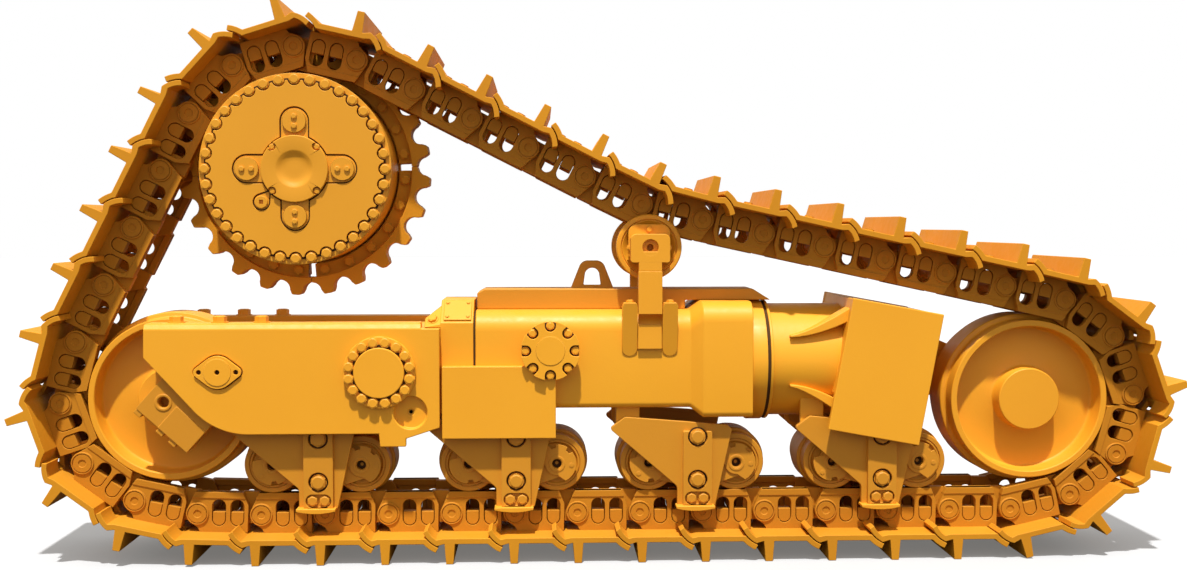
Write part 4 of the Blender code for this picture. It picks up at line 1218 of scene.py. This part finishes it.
def shaft_drill(wheel, side):
    return rod(*wheel, 0.024, side * 0.17, side * 0.24, 32)


def carriage(wheels, pivot):
    """Shells and screw places of one carriage."""
    cheek = belt([(*wheels[0], 0.070), (*pivot, 0.058), (*wheels[1], 0.070)])
    screws = []
    shells = []
    for side in (-1, 1):
        holes = [shaft_drill(wheel, side) for wheel in wheels]
        shells.append(carved(on_side(side, cheek, 0.198, 0.218), holes))
        for wheel, lean in zip(wheels, (205, -25)):
            plate = on_side(side, retainer(*wheel, lean), 0.2185, 0.2262)
            shells.append(carved(plate, [shaft_drill(wheel, side)]))
            shells.append(sleeve(*wheel, 0.041, 0.029, side * 0.219, side * 0.2295))
            for angle in (lean + 20, lean + 165):
                x, z = arc(*wheel, 0.074, angle, angle, 2)[0]
                screws.append(((x, side * 0.2258, z), (0, side, 0), 0.0125, 0.5))
    return shells + [rod(*wheel, 0.034, -0.190, 0.190, 32) for wheel in wheels], screws


SCREW_HEAD = {"Head Height": 0.22, "Chamfer": 0.05, "Washer Radius": 1.05}
for k in range(4):
    wheels = (ROLLERS[2 * k], ROLLERS[2 * k + 1])
    shells, screws = carriage(wheels, carriage_pivot(BOGIE_X[k], ROLLER_Z))
    node = f"carriage_{k + 1}"
    dress(f"roller_cheeks_{k + 1}", shells, node, [node], bogie_enamel, 0.002)
    bolts(f"retainer_screws_{k + 1}", screws, node, bogie_enamel, "bracket_paint", **SCREW_HEAD)
    # Dark rings of painted shade in both shaft ends of each roller.
    ends = ((-0.1925, -0.1895), (0.1895, 0.1925))
    shaft_gaps = [sleeve(*wheel, 0.0235, 0.0085, *end, 24) for wheel in wheels for end in ends]
    painted_shade_sheet(f"shaft_grime_{k + 1}", shaft_gaps, node)

# %% [markdown]
# ## Swinging bogie arms
# A pair of cut plates hangs each carriage from the frame and swings up over bumps. A raised wear
# pad is bolted on with two large heads in round recesses, and two smaller heads sit in a rounded
# pocket near the foot. The recesses could be inset by hand, but cutters keep them round and the pad
# about them flat.

# %% Bogie arms
PAD_BOLTS = (0.142, -0.074)


def arm_pivot(x, z):
    """Upper pin that an arm swings on, from the middle of its bogie."""
    return (x - 0.330, z + 0.1785)


def bogie_shells(x, z):
    cx, cz = carriage_pivot(x, z)
    arm = eased(
        [
            (x - 0.345, z + 0.240, 0.012),
            (x - 0.424, z + 0.182, 0.014),
            (x - 0.082, z - 0.112, 0.030),
            (x - 0.082, z - 0.208, 0),
            (x + 0.110, z - 0.208, 0),
            (x + 0.194, z + 0.175, 0.012),
            (x + 0.172, z + 0.198, 0.012),
        ]
    )
    pad = [(cx - 0.080, z - 0.204, 0), (cx + 0.066, z - 0.204, 0)]
    pad = eased(pad + [(cx + 0.066, z + 0.171, 0.010), (cx - 0.080, z + 0.171, 0.010)])
    pocket = belt([(cx - 0.037, z - 0.168, 0.033), (cx + 0.023, z - 0.168, 0.033)])
    shells = both_sides(arm, 0.230, 0.262)
    for side in (-1, 1):
        cutters = []
        for height in PAD_BOLTS:
            cutters.append(rod(cx - 0.007, z + height, 0.049, side * 0.272, side * 0.30))
        cutters.append(on_side(side, pocket, 0.270, 0.30))
        shells.append(carved(on_side(side, pad, 0.258, 0.290), cutters))
    shells.append(rod(cx, cz, 0.035, -0.246, 0.246))
    for y0, y1 in ((-0.255, -0.196), (0.196, 0.255)):
        shells.append(rod(*arm_pivot(x, z), 0.040, y0, y1))
    return shells


print("arms hang at", [round(arm_pivot(x, ROLLER_Z)[0], 3) for x in BOGIE_X])

# %% [markdown]
# Below each arm is a curved lip that keeps the links in line. It is left out of the arms' painted
# shade and gets the paler coat of the wheels, as the photograph shows it, so it is a piece of its
# own. Thin dark discs paint shade on the floors of the bolt recesses, where a texture would need
# unwrapping.

# %% Bogie lips, bolts and painted shade


def lip_shells(x, z):
    """Curved guide lips at the foot of both arms."""
    shares = (-1, -0.6, -0.2, 0.2, 0.6, 1)
    foot = [(x + 0.007 + 0.097 * t, z - 0.228 + 0.012 * t * t) for t in shares]
    return both_sides([(x - 0.090, z - 0.203)] + foot + [(x + 0.104, z - 0.203)], 0.234, 0.314)


def bogie_bolts(x, z):
    cx = x + 0.018
    places = []
    for side in (-1, 1):
        for height in PAD_BOLTS:
            places.append(((cx, side * 0.272, z + height), (0, side, 0), 0.039, 0.52))
        for shift in (-0.030, 0.030):
            places.append(((cx + shift, side * 0.270, z - 0.168), (0, side, 0), 0.027, 0.52))
    return places


def bogie_painted_shade(x, z):
    """Painted shade on the floors of the recesses that the two large heads sit in."""
    shells = []
    for side in (-1, 1):
        for height in PAD_BOLTS:
            shells.append(rod(x + 0.018, z + height, 0.0485, side * 0.2715, side * 0.2735, 32))
    return shells


for k in range(4):
    body = f"bogie_{k + 1}"
    middle = (BOGIE_X[k], ROLLER_Z)
    dress(f"bogie_arm_{k + 1}", bogie_shells(*middle), body, [body], bogie_enamel, edge=0.003)
    dress(f"bogie_lip_{k + 1}", lip_shells(*middle), body, (), wheel_enamel, edge=0.003)
    bolts(f"bogie_bolts_{k + 1}", bogie_bolts(*middle), body, bogie_enamel, **{"Washer Radius": 1.04})
    painted_shade_sheet(f"bogie_grime_{k + 1}", bogie_painted_shade(*middle), body)

# %% [markdown]
# ## Rear frame
# The rear half of the frame is a welded box between two thick side plates that sweep up round the
# rear idler. The plates' top outer edge is planed off. A bevel could take it off, but it is easier
# to build a plate from three layers of one outline with the outer top lowered. Two flange strips
# with bolts close the top, and eyes below carry the first bogie.

# %% Rear frame outlines
PIVOT = (REAR[0] + 1.061, 0.954)
FRAME_TOP = 1.192
FRAME_END = REAR[0] + 1.354
BELLY = 0.740


def frame_side():
    x, z = PIVOT
    return eased(
        [
            (REAR[0] - 0.084, FRAME_TOP, 0),
            (REAR[0] - 0.086, FRAME_TOP - 0.162, 0),
            (REAR[0] + 0.260, 0.649, 0.360),
            (x - 0.005, 0.649, 0),
            (x, 0.585, 0),
            (x + 0.127, 0.585, 0),
            (x + 0.127, 0.624, 0),
            (FRAME_END, 0.678, 0),
            (FRAME_END, FRAME_TOP - 0.024, 0),
            (FRAME_END - 0.090, FRAME_TOP - 0.024, 0),
            (FRAME_END - 0.090, FRAME_TOP, 0),
        ],
        16,
    )


def planed(outline, side):
    """Side plate whose outer top edge slopes away."""
    layers = []
    for y, cut in ((0.310, 0.0), (0.330, 0.0), (0.345, 0.024)):
        layers.append([(x, side * y, min(z, FRAME_TOP - cut)) for x, z in outline])
    return shell(layers)


def lug(pivot, x0, x1, top):
    """Pair of eyes that a bogie's arm hangs in."""
    shoulder = pivot[1] + 0.045
    outline = [(x0, top), (x0, shoulder)] + arc(*pivot, 0.060, 180, 360, 17)
    outline += [(x1, shoulder), (x1, top)]
    return both_sides(outline, 0.198, 0.227)


def bogie_pivot(k):
    return arm_pivot(BOGIE_X[k], ROLLER_Z)


dimple_x, dimple_z = PIVOT[0] + 0.150, PIVOT[1] - 0.200
oval_x, oval_z = REAR[0] + 0.274, PIVOT[1] + 0.004
OVAL_HOLES = (-0.090, 0.0, 0.090)


def oval(extra=0.0):
    """Outline of the bearing cover, a large round between two small ones."""
    rounds = ((-0.090, 0.026), (0.0, 0.081), (0.090, 0.026), (0.0, 0.081))
    return belt([(oval_x + dx, oval_z, radius + extra) for dx, radius in rounds])


print("side plate has", len(frame_side()), "corners, bearing cover", len(oval()))

# %% [markdown]
# The near plate is drilled for the covers bolted to it and has a round dimple low in front. Both
# plates, the centre box, the flange strips and the eyes are then joined into one piece. They could
# be welded with a Boolean union, but shells that overlap a little look the same and keep clean
# edges.

# %% Rear frame plates
drillings = [turned(dimple_x, dimple_z, [(0.080, -0.320), (0.083, -0.36)], 48)]
drillings.append(rod(dimple_x, dimple_z, 0.015, -0.311, -0.36, 24))
drillings += [rod(oval_x + dx, oval_z, 0.012, -0.311, -0.36, 24) for dx in OVAL_HOLES]
drillings.append(slab(oval(0.0045), -0.36, -0.333))
plates = [carved(planed(frame_side(), -1), drillings), planed(frame_side(), 1)]
centre_box = rectangle(REAR[0] + 0.487, FRAME_END - 0.0005, BELLY, FRAME_TOP - 0.026)
plates.append(slab(centre_box, -0.311, 0.311))
strip = rectangle(REAR[0] - 0.080, FRAME_END - 0.095, FRAME_TOP - 0.042, FRAME_TOP + 0.004)
plates += both_sides(strip, 0.215, 0.328)
first = bogie_pivot(0)
filler = rectangle(first[0] - 0.064, first[0] + 0.064, ROLLER_Z + 0.259, ROLLER_Z + 0.340)
plates += both_sides(filler, 0.194, 0.316)
plates += lug(first, first[0] - 0.060, first[0] + 0.060, 0.770)
dress("rear_frame_plates", plates, "frame", ["rear_frame"], edge=0.005)

# %% [markdown]
# On the outside of the plate are an oval bearing cover, a round pivot cap with sixteen bolts packed
# about its raised centre, and along the top the flange bolts. The caps are turned or belted
# outlines, and the bolts come from the tree.

# %% Rear frame fittings
holes = [rod(oval_x + dx, oval_z, 0.012, -0.320, -0.40, 24) for dx in OVAL_HOLES]
lid = [carved(slab(oval(), -0.3575, -0.333), holes)]
disc = [(0.068, -0.3455), (0.068, -0.3585), (0.066, -0.3613), (0.020, -0.3613)]
lid.append(carved(turned(oval_x, oval_z, disc, 64), holes[1:2]))
dress("bearing_oval", lid, "frame", ["bearing_cover"], edge=0.002)
pivot_disc = [
    turned(*PIVOT, [(0.178, -0.3453), (0.178, -0.3600), (0.175, -0.3633), (0.100, -0.3633)], 96),
    turned(*PIVOT, [(0.124, -0.350), (0.124, -0.3815), (0.121, -0.385), (0.020, -0.385)], 96),
]
dress("pivot_disc", pivot_disc, "frame", ["pivot_cap"], edge=0.002)
pivot_bolts = bolt_ring(*PIVOT, -0.363, 0.1515, 16, 0.0265, 11)
bolts("pivot_bolts", pivot_bolts, "frame", **{"Washer Radius": 1.02})
# Dark sheets of painted shade round the pivot cap's raised centre and in the groove round the oval
# cover.
pivot_gap = sleeve(*PIVOT, 0.138, 0.1235, -0.3625, -0.3645, 96)
painted_shade_sheet("cover_grime", [pivot_gap, slab(oval(0.004), -0.3405, -0.3335)], "frame")
pivot_shaft = [
    rod(*PIVOT, 0.120, -0.345, 0.36, 64),
    turned(*PIVOT, [(0.178, 0.3453), (0.178, 0.3755), (0.175, 0.3785), (0.100, 0.3785)], 96),
    turned(*PIVOT, [(0.116, 0.370), (0.116, 0.381), (0.112, 0.385), (0.060, 0.385)], 96),
]
dress("pivot_flange", pivot_shaft, "frame", ["pivot_shaft"], bare_steel, 0.003)
inner_bolts = bolt_ring(*PIVOT, 0.3785, 0.146, 12, 0.0125, 15, 1)
LOW_HEAD = {"Head Height": 0.3, "Chamfer": 0.05}
bolts("pivot_flange_bolts", inner_bolts, "frame", bare_steel, "worn_steel", **LOW_HEAD)
flange_bolts = []
for ahead in (0.060, 0.272, 0.476):
    for y in (-0.272, 0.272):
        flange_bolts.append(((REAR[0] + ahead, y, FRAME_TOP + 0.004), (0, 0, 1), 0.034, 0.3))
bolts("flange_bolts", flange_bolts, "frame", **{"Head Height": 0.9})

# %% [markdown]
# ## Saddle and side cover
# A block joins the rear frame to the long tube. Its upper corners slope, a four-bolt cover lies on
# each slope, and a ramp runs down from it onto the rear frame. Below, a bent guard plate covers the
# joint on the near side. Boxes with cut corners would do, but sections drawn across the frame and
# run along it show each slope as plain numbers.

# %% Saddle
SADDLE_START = FRAME_END - 0.0002
SADDLE_END = REAR[0] + 1.518
saddle_section = [(-0.280, BELLY), (0.280, BELLY), (0.280, FRAME_TOP)]
saddle_section += [(0.160, 1.299), (-0.160, 1.299), (-0.280, FRAME_TOP)]
second = bogie_pivot(1)
saddle = [length_of(saddle_section, SADDLE_START, SADDLE_END)]
saddle += lug(second, SADDLE_START + 0.004, second[0] + 0.060, 0.770)
slope = Vector((0.120, 0.107)).normalized()
out = Vector((-slope.y, slope.x))
saddle_bolts = []
for side in (-1, 1):
    foot = Vector((-0.280, FRAME_TOP)) + slope * 0.012 + out * 0.0005
    corners = [foot, foot + slope * 0.138, foot + slope * 0.138 + out * 0.010, foot + out * 0.010]
    cover_section = [(-side * p.x, p.y) for p in corners]
    saddle.append(length_of(cover_section, SADDLE_START + 0.016, SADDLE_END - 0.010))
    for share in (0.022, 0.118):
        for x in (SADDLE_START + 0.034, SADDLE_END - 0.028):
            spot = foot + slope * share + out * 0.010
            saddle_bolts.append(((x, -side * spot.x, spot.y), (0, -side * out.x, out.y), 0.0095, 0.2))
ramp_start = FRAME_END - 0.078
ramp_end = FRAME_END + 0.036
for side in (-1, 1):
    low_end = [(0.150, 1.167), (0.279, 1.167), (0.279, 1.172), (0.225, 1.210), (0.150, 1.210)]
    high_end = [(0.150, 1.167), (0.2795, 1.167), (0.2795, FRAME_TOP)]
    high_end += [(0.1605, 1.2985), (0.150, 1.2985)]
    ends = ((ramp_start, low_end), (ramp_end, high_end))
    saddle.append(shell([[(x, side * y, z) for y, z in each] for x, each in ends]))
    along = Vector((ramp_end - ramp_start, side * -0.0325, 0.054))
    across = Vector((0, side * -0.0865, 0.0723))
    facing = along.cross(across).normalized() * -side
    spot = Vector((ramp_start + 0.040, side * 0.2455, 1.2065))
    saddle_bolts.append((tuple(spot), tuple(facing), 0.024, 0.2))
dress("saddle_casting", saddle, "frame", ["saddle_block"])
bolts("saddle_bolts", saddle_bolts, "frame")
guard = [(-0.335, 0.621), (-0.300, 0.621), (-0.300, 0.782)]
guard += [(-0.2803, 0.782), (-0.2803, 0.979), (-0.335, 0.979)]
guard_plate = length_of(guard, SADDLE_START + 0.011, REAR[0] + 1.927)
dress("side_guard", [guard_plate], "frame", ["side_cover"])

# %% [markdown]
# The trunnion cap on the tube's side has eight bolts that sit in U-shaped notches open to its rim.
# Eight cutters could make the notches. Here the outline goes round in one loop instead: a stretch
# of rim, then down one side of a notch, round its end and up the other.

# %% Trunnion cap
TRUNNION = (REAR[0] + 1.900, 1.058)
NOTCH = 0.0275
notched = []
for k in range(8):
    angle = 45 * k
    rim_half = math.degrees(math.asin(NOTCH / 0.146))
    notched += laid(arc(0.121, 0, NOTCH, 270, 90, 10), *TRUNNION, angle)
    notched += arc(*TRUNNION, 0.146, angle + rim_half, angle + 45 - rim_half, 7)
trunnion = [
    rod(*TRUNNION, 0.072, -0.2803, -0.345, 48),
    rod(*TRUNNION, 0.143, -0.3355, -0.346, 96),
    slab(notched, -0.369, -0.345),
    turned(*TRUNNION, [(0.073, -0.360), (0.073, -0.3695), (0.0705, -0.372), (0.020, -0.372)], 64),
]
dress("trunnion_disc", trunnion, "frame", ["trunnion_cap"], edge=0.002)
bolts("trunnion_bolts", bolt_ring(*TRUNNION, -0.346, 0.123, 8, 0.0200), "frame", **SLIM_WASHER)
# A dark ring of painted shade shows in the floors of the notches round the bolts.
painted_shade_sheet("trunnion_grime", [sleeve(*TRUNNION, 0.1415, 0.085, -0.3455, -0.3475, 96)], "frame")

# %% [markdown]
# ## Main tube
# The long tube is a pressed section with wide rounded shoulders that flares into a larger housing
# for the recoil spring. Lofting one rounded section through a few stations gives the flare.
# Subdivision would also round it, but the stations keep the flat sides truly flat. A thin neck at
# the rear end leaves a gap beside the saddle.

# %% Main tube
RECOIL_Z = 0.980
TUBE_TOP = 1.249
HOUSING_TOP = 1.294
HOUSING_END = REAR[0] + 2.912
COLLAR_END = REAR[0] + 3.019


def tube_section(half, bottom, top):
    """Section with wide upper and narrow lower rounds."""
    upper = [(half, top, 0.100), (-half, top, 0.100)]
    return eased([(-half, bottom, 0.030), (half, bottom, 0.030)] + upper, 12)


plain = tube_section(0.280, 0.762, TUBE_TOP)
wide = tube_section(0.320, 0.717, HOUSING_TOP)
flare = REAR[0] + 2.663
NECK = 0.0095
neck = tube_section(0.262, 0.780, TUBE_TOP - 0.014)
stations = [(SADDLE_END + 0.0003, neck), (SADDLE_END + NECK, neck)]
stations += [(SADDLE_END + NECK + 0.0004, plain), (flare - 0.060, plain)]
stations += [(flare, wide), (HOUSING_END, wide)]
tube = [shell([[(x, y, z) for y, z in each] for x, each in stations])]
third = bogie_pivot(2)
tube += lug(third, third[0] - 0.060, third[0] + 0.060, 0.792)
dress("main_tube_pressing", tube, "frame", ["main_tube"], edge=0.006)

# %% [markdown]
# A collar closes the mouth of the tube. It could be a plain cylinder, but a turned profile also
# gives its rounded lip and the groove round it. That groove and the gap between the saddle and the
# tube are darkened with painted shade.

# %% Collar
collar_steps = [
    (0.2903, HOUSING_END + 0.0003),
    (0.309, HOUSING_END + 0.0003),
    (0.311, HOUSING_END + 0.006),
    (0.311, COLLAR_END - 0.031),
    (0.2945, COLLAR_END - 0.030),
    (0.2945, COLLAR_END - 0.015),
    (0.309, COLLAR_END - 0.014),
    (0.309, COLLAR_END - 0.003),
    (0.306, COLLAR_END),
    (0.2903, COLLAR_END),
]
collar_ring = spun(RECOIL_Z, collar_steps, 128, True)
dress("tube_collar_ring", [collar_ring], "frame", ["tube_collar"], edge=0.0015)
# Dark sheets of painted shade in the collar's groove and in the neck's gap.
groove = (COLLAR_END - 0.0299, COLLAR_END - 0.0151)
groove_band = [(0.294, groove[0]), (0.304, groove[0]), (0.304, groove[1]), (0.294, groove[1])]
neck_section = tube_section(0.274, 0.768, TUBE_TOP - 0.006)
neck_fill = length_of(neck_section, SADDLE_END + 0.0006, SADDLE_END + NECK - 0.0003)
painted_shade_sheet("tube_grime", [spun(RECOIL_Z, groove_band, 128, True), neck_fill], "frame")

# %% [markdown]
# Along the tube's top lies a box beam with a lifting eye welded on. The eye is a rounded triangle
# with a D-shaped hole, cut through with a Boolean because the hole has a flat bottom.

# %% Top beam and lifting eye
BEAM_TOP = 1.352
eye_x = REAR[0] + 2.119
beam = [
    (SADDLE_END + 0.012, TUBE_TOP + 0.0003),
    (flare - 0.072, TUBE_TOP + 0.0003),
    (flare - 0.072, HOUSING_TOP + 0.0003),
    (COLLAR_END + 0.011, HOUSING_TOP + 0.0003),
    (HOUSING_END + 0.026, BEAM_TOP),
    (SADDLE_END + 0.050, BEAM_TOP),
    (SADDLE_END + 0.012, BEAM_TOP - 0.020),
]
eye = eased(
    [
        (eye_x - 0.114, BEAM_TOP - 0.010, 0),
        (eye_x + 0.114, BEAM_TOP - 0.010, 0),
        (eye_x + 0.054, BEAM_TOP + 0.142, 0.046),
        (eye_x - 0.054, BEAM_TOP + 0.142, 0.046),
    ],
    10,
)
eye_hole = [(eye_x + dx, BEAM_TOP + 0.016) for dx in (-0.045, 0.045)]
eye_hole += arc(eye_x, BEAM_TOP + 0.066, 0.038, 12, 168, 17)
lifting_eye = carved(slab(eye, -0.022, 0.022), [slab(eye_hole, -0.05, 0.05)])
top_beam = [slab(beam, -0.120, 0.120), lifting_eye]
dress("top_beam_box", top_beam, "frame", ["top_beam"], bogie_enamel, edge=0.006)

# %% [markdown]
# ## Carrier roller
# One roller holds up the sagging upper run. Its flanges stand outside the link bars, and its near
# face has a fine groove. Like the idlers it could be several rings, but one turned profile has no
# seams.

# %% Carrier roller
cx, cz = CARRIER
carrier_face = [(0.041, -0.206), (0.104, -0.206), (0.110, -0.212), (0.134, -0.229), (0.1355, -0.224)]
carrier_face += [(0.1405, -0.224), (0.142, -0.234), (0.160, -0.234), (0.165, -0.229)]
carrier_face += [(0.165, -0.204), (0.160, -0.201), (0.095, -0.190), (0.090, -0.186)]
carrier_wheel = turned(cx, cz, mirrored(carrier_face), 80)
body = "carrier_roller"
dress("carrier_wheel", [carrier_wheel], body, [body], wheel_enamel, 0.002)

# %% [markdown]
# The post is bolted to the tube's side between two horseshoe-shaped ears, and ends in a block with
# a counterbored shaft. It could be one carved block, but layers of plain outlines, each with its
# own depths, keep its steps easy to read.

# %% Carrier post
HEAD_HALF = 0.098
POST_HALF = 0.0595
POST_FOOT = 1.235
EAR_TOP = 1.292
EAR_BASE = 1.060


def upright(half, low, high):
    """Outline centred under the roller's axle."""
    return rectangle(cx - half, cx + half, low, high)


def clamp_ear(middle, side):
    """Horseshoe that swells outward as it rises."""
    top = [(middle + 0.038, EAR_TOP - 0.018), (middle + 0.030, EAR_TOP), (middle - 0.030, EAR_TOP)]
    outline = top + [(middle - 0.038, EAR_TOP - 0.018)] + arc(middle, EAR_BASE, 0.038, 180, 360, 13)
    swell = [min(1.0, max(0.0, (z - EAR_BASE + 0.038) / 0.200)) for _, z in outline]
    front = [(x, side * (0.284 + 0.0455 * t), z) for (x, z), t in zip(outline, swell)]
    return shell([[(x, side * 0.262, z) for x, z in outline], front])


head = [(cx - HEAD_HALF, cz - 0.075, 0.014), (cx + HEAD_HALF, cz - 0.075, 0.014)]
head = eased(head + [(cx + HEAD_HALF, cz + 0.067, 0.030), (cx - HEAD_HALF, cz + 0.067, 0.030)])
rounds = [(-0.075, -0.030, 0.030), (0.075, -0.030, 0.030)]
rounds += [(0.060, 0.070, 0.045), (-0.060, 0.070, 0.045)]
keeper = belt([(cx + dx, cz + dz, radius) for dx, dz, radius in rounds])
layers = (
    (keeper, 0.2365, 0.2525),
    (upright(POST_HALF, POST_FOOT, cz - 0.118), 0.285, 0.3303),
    (upright(POST_HALF - 0.002, cz - 0.1175, cz - 0.02), 0.285, 0.3275),
    (upright(POST_HALF, EAR_BASE, POST_FOOT - 0.052), 0.2803, 0.302),
    (upright(0.100, EAR_BASE, POST_FOOT - 0.052), 0.2803, 0.286),
)
post = [rod(cx, cz, 0.040, -0.248, 0.248)]
post_bolts = []
for side in (-1, 1):
    counterbore = rod(cx, cz, 0.040, side * 0.300, side * 0.36)
    centre = rod(cx, cz, 0.017, side * 0.250, side * 0.36, 24)
    post.append(carved(on_side(side, head, 0.252, 0.328), [counterbore, centre]))
    post += [on_side(side, *each) for each in layers]
    for middle in (cx - 0.1005, cx + 0.1005):
        post.append(clamp_ear(middle, side))
        post_bolts.append(((middle, side * 0.300, EAR_TOP), (0, 0, 1), 0.019, 0.1))
    for dx, dz in ((-0.096, -0.002), (0.096, -0.002), (0.0, 0.090)):
        post_bolts.append(((cx + dx, side * 0.2522, cz + dz), (0, side, 0), 0.0145, 0.3))
dress("carrier_post", post, "frame", ["carrier_bracket"], wheel_enamel, 0.003)
bolts("carrier_post_bolts", post_bolts, "frame", wheel_enamel, "bracket_paint")

# %% [markdown]
# ## Front slide
# The front tube slides in the collar and carries a tilted box with thick cheeks. Horn-shaped
# gussets brace it above and below. An arm on the inner side, out of the photograph's view, holds
# the front idler's shaft. The gussets' edges are smooth curves through a few points, which a flat
# outline shows best.

# %% Front slide
YOKE = (FRONT[0] - 0.780, 0.944)
YOKE_TILT = -10.4
mouth = COLLAR_END - 0.014
horn_tip = COLLAR_END + 0.084


def horn(x0, x1, z0, rise, thick):
    """Gusset that curves away from the tube toward the box."""
    shares = [i / 8 for i in range(9)]
    tip = math.copysign(0.012, rise)
    outer = [(x0 + (x1 - x0) * t, z0 + rise * t**1.35) for t in shares]
    inner = [(x0 + (x1 - x0) * t, z0 + (rise - thick) * t**1.7 - tip) for t in reversed(shares)]
    return outer + inner


slide = [spun(RECOIL_Z, [(0.284, mouth), (0.290, mouth + 0.006), (0.290, YOKE[0] - 0.1)], 128)]
slide.append(spun(RECOIL_Z, [(0.200, REAR[0] + 2.250), (0.200, mouth + 0.05)], 64))
cheek = laid(rectangle(-0.233, 0.233, -0.334, 0.334), *YOKE, YOKE_TILT)
core = laid(rectangle(-0.230, 0.230, -0.1536, 0.331), *YOKE, YOKE_TILT)
slide += both_sides(cheek, 0.310, 0.345)
slide.append(slab(core, -0.314, 0.314))
roots = [(YOKE[0] - 0.02, YOKE[1] - 0.02, 0.08), (YOKE[0] + 0.02, YOKE[1] + 0.20, 0.08)]
idler_arm = belt([roots[0], (*FRONT, 0.110), roots[1]])
slide.append(slab(idler_arm, 0.205, 0.300))
upper_horn = horn(horn_tip, YOKE[0] - 0.17, RECOIL_Z + 0.145, 0.140, 0.055)
lower_horn = horn(horn_tip, YOKE[0] - 0.20, RECOIL_Z - 0.115, -0.150, -0.055)
slide += both_sides(upper_horn, 0.170, 0.290) + both_sides(lower_horn, 0.170, 0.290)
fourth = bogie_pivot(3)
slide += lug(fourth, fourth[0] - 0.060, fourth[0] + 0.060, 0.835)
dress("front_slide_box", slide, "front_slide", ["idler_yoke"], edge=0.005)

# %% [markdown]
# ## Machine side
# The photograph does not show the side away from the camera, so it follows how such machines are
# built. The drive wheel's spindle ends there in a bolted flange, which is where a machine's final
# drive would carry the part. It could be left as a plain disc, but a ring of bolts shows what it is
# for. The slim shafts keep their CAD solids and only get a steel finish.

# %% Spindle and shafts
flange_steps = [(0.376, 0.315), (0.380, 0.319), (0.380, 0.374), (0.376, 0.378)]
flange_steps += [(0.300, 0.378), (0.292, 0.385), (0.100, 0.385)]
spindle = [rod(*DRIVE, 0.249, -0.10, 0.330, 96), turned(*DRIVE, flange_steps, 96)]
dress("spindle_flange", spindle, "frame", ["spindle"], wheel_enamel, 0.003)
spindle_bolts = bolt_ring(*DRIVE, 0.3775, 0.338, 24, 0.019, 0, 1)
flat_head = {"Head Height": 0.25, "Chamfer": 0.05}
bolts("spindle_bolts", spindle_bolts, "frame", wheel_enamel, "bracket_paint", **flat_head)
for name in ("recoil_cylinder", "adjuster_rod", "front_idler_shaft"):
    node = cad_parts[name]
    node.data.materials.clear()
    node.data.materials.append(bare_steel)
print("shafts painted as bare steel")

# %% [markdown]
# ## Floor and light
# The photograph has a white ground with a soft grey shadow. A shadow catcher could give that, but a
# real floor is simpler to light. It is pale for the camera only: to the other rays it is dim, so
# undersides stay deep.

# %% Floor
FLOOR_Z = -0.0006
floor_corners = [(x, y, FLOOR_Z) for x, y in rectangle(-60, 60, -30, 60)]
floor_mesh = bpy.data.meshes.new("floor")
floor_mesh.from_pydata(floor_corners, [], [(0, 1, 2, 3)])
floor = as_object(floor_mesh)
floor.name = "floor"
pale = bpy.data.materials.new("pale_floor")
pale.use_nodes = True
pale_shader = pale.node_tree.nodes["Principled BSDF"]
pale_shader.inputs["Roughness"].default_value = 0.9
pale_shader.inputs["Specular IOR Level"].default_value = 0.0
pale_shader.inputs["Emission Color"].default_value = (1.0, 0.97, 0.92, 1)
floor_path = add(pale.node_tree, "ShaderNodeLightPath")
seen = floor_path.outputs["Is Camera Ray"]
floor_tint = blended(pale.node_tree, seen, (0.07, 0.07, 0.07, 1), (0.42, 0.42, 0.42, 1))
pale.node_tree.links.new(floor_tint, pale_shader.inputs["Base Color"])
glow = scaled_by(pale.node_tree, seen, 0.17)
pale.node_tree.links.new(glow, pale_shader.inputs["Emission Strength"])
floor_mesh.materials.append(pale)
print("floor at", FLOOR_Z)

# %% [markdown]
# The short shade under every ledge says that the main light is a high one on the camera's side. A
# large area lamp would blur that shade, so it is a sun with a small disc, and a plain sky, white to
# the camera and a little dimmer as a light, fills the rest.

# %% Sun and world
SUN_WAY = Vector((0.05, 0.3875, -0.9205))
sun = bpy.data.lights.new("high_sun", "SUN")
sun.energy = 5.1
sun.angle = math.radians(2)
lamp = bpy.data.objects.new("high_sun", sun)
bpy.context.scene.collection.objects.link(lamp)
lamp.rotation_euler = SUN_WAY.to_track_quat("-Z", "Y").to_euler()

world = bpy.data.worlds.new("studio")
bpy.context.scene.world = world
world.use_nodes = True
sky = world.node_tree
background = sky.nodes["Background"]
background.inputs["Strength"].default_value = 1.0
path = add(sky, "ShaderNodeLightPath")
straight = (path.outputs["Is Camera Ray"], path.outputs["Is Transmission Ray"])
shown = add(sky, MATH, {"operation": "MAXIMUM"}, i0=straight[0], i1=straight[1])
tint = blended(sky, shown.outputs[0], (0.80, 0.80, 0.80, 1), (1, 1, 1, 1))
sky.links.new(tint, background.inputs["Color"])
bpy.context.scene.view_settings.view_transform = "Standard"
print("sun", sun.energy)

# %% [markdown]
# ## Camera
# The photograph's lens and place were found by fitting a pinhole camera to points of the track. It
# could be placed by eye, but a fitted one lets a render be laid over the photograph. It stands
# almost square to the side, a little above the middle and slightly turned.

# %% Camera
eye_data = bpy.data.cameras.new("side_camera")
eye_data.lens = 40.62
eye_data.sensor_width = 36.0
eye_data.sensor_fit = "HORIZONTAL"
camera = bpy.data.objects.new("side_camera", eye_data)
bpy.context.scene.collection.objects.link(camera)
camera.location = (-0.3293, -6.933, 1.679)
camera.rotation_euler = (math.pi / 2 - math.radians(2.581), 0, -math.radians(2.296))
bpy.context.scene.camera = camera
print("camera at", [round(v, 3) for v in camera.location])
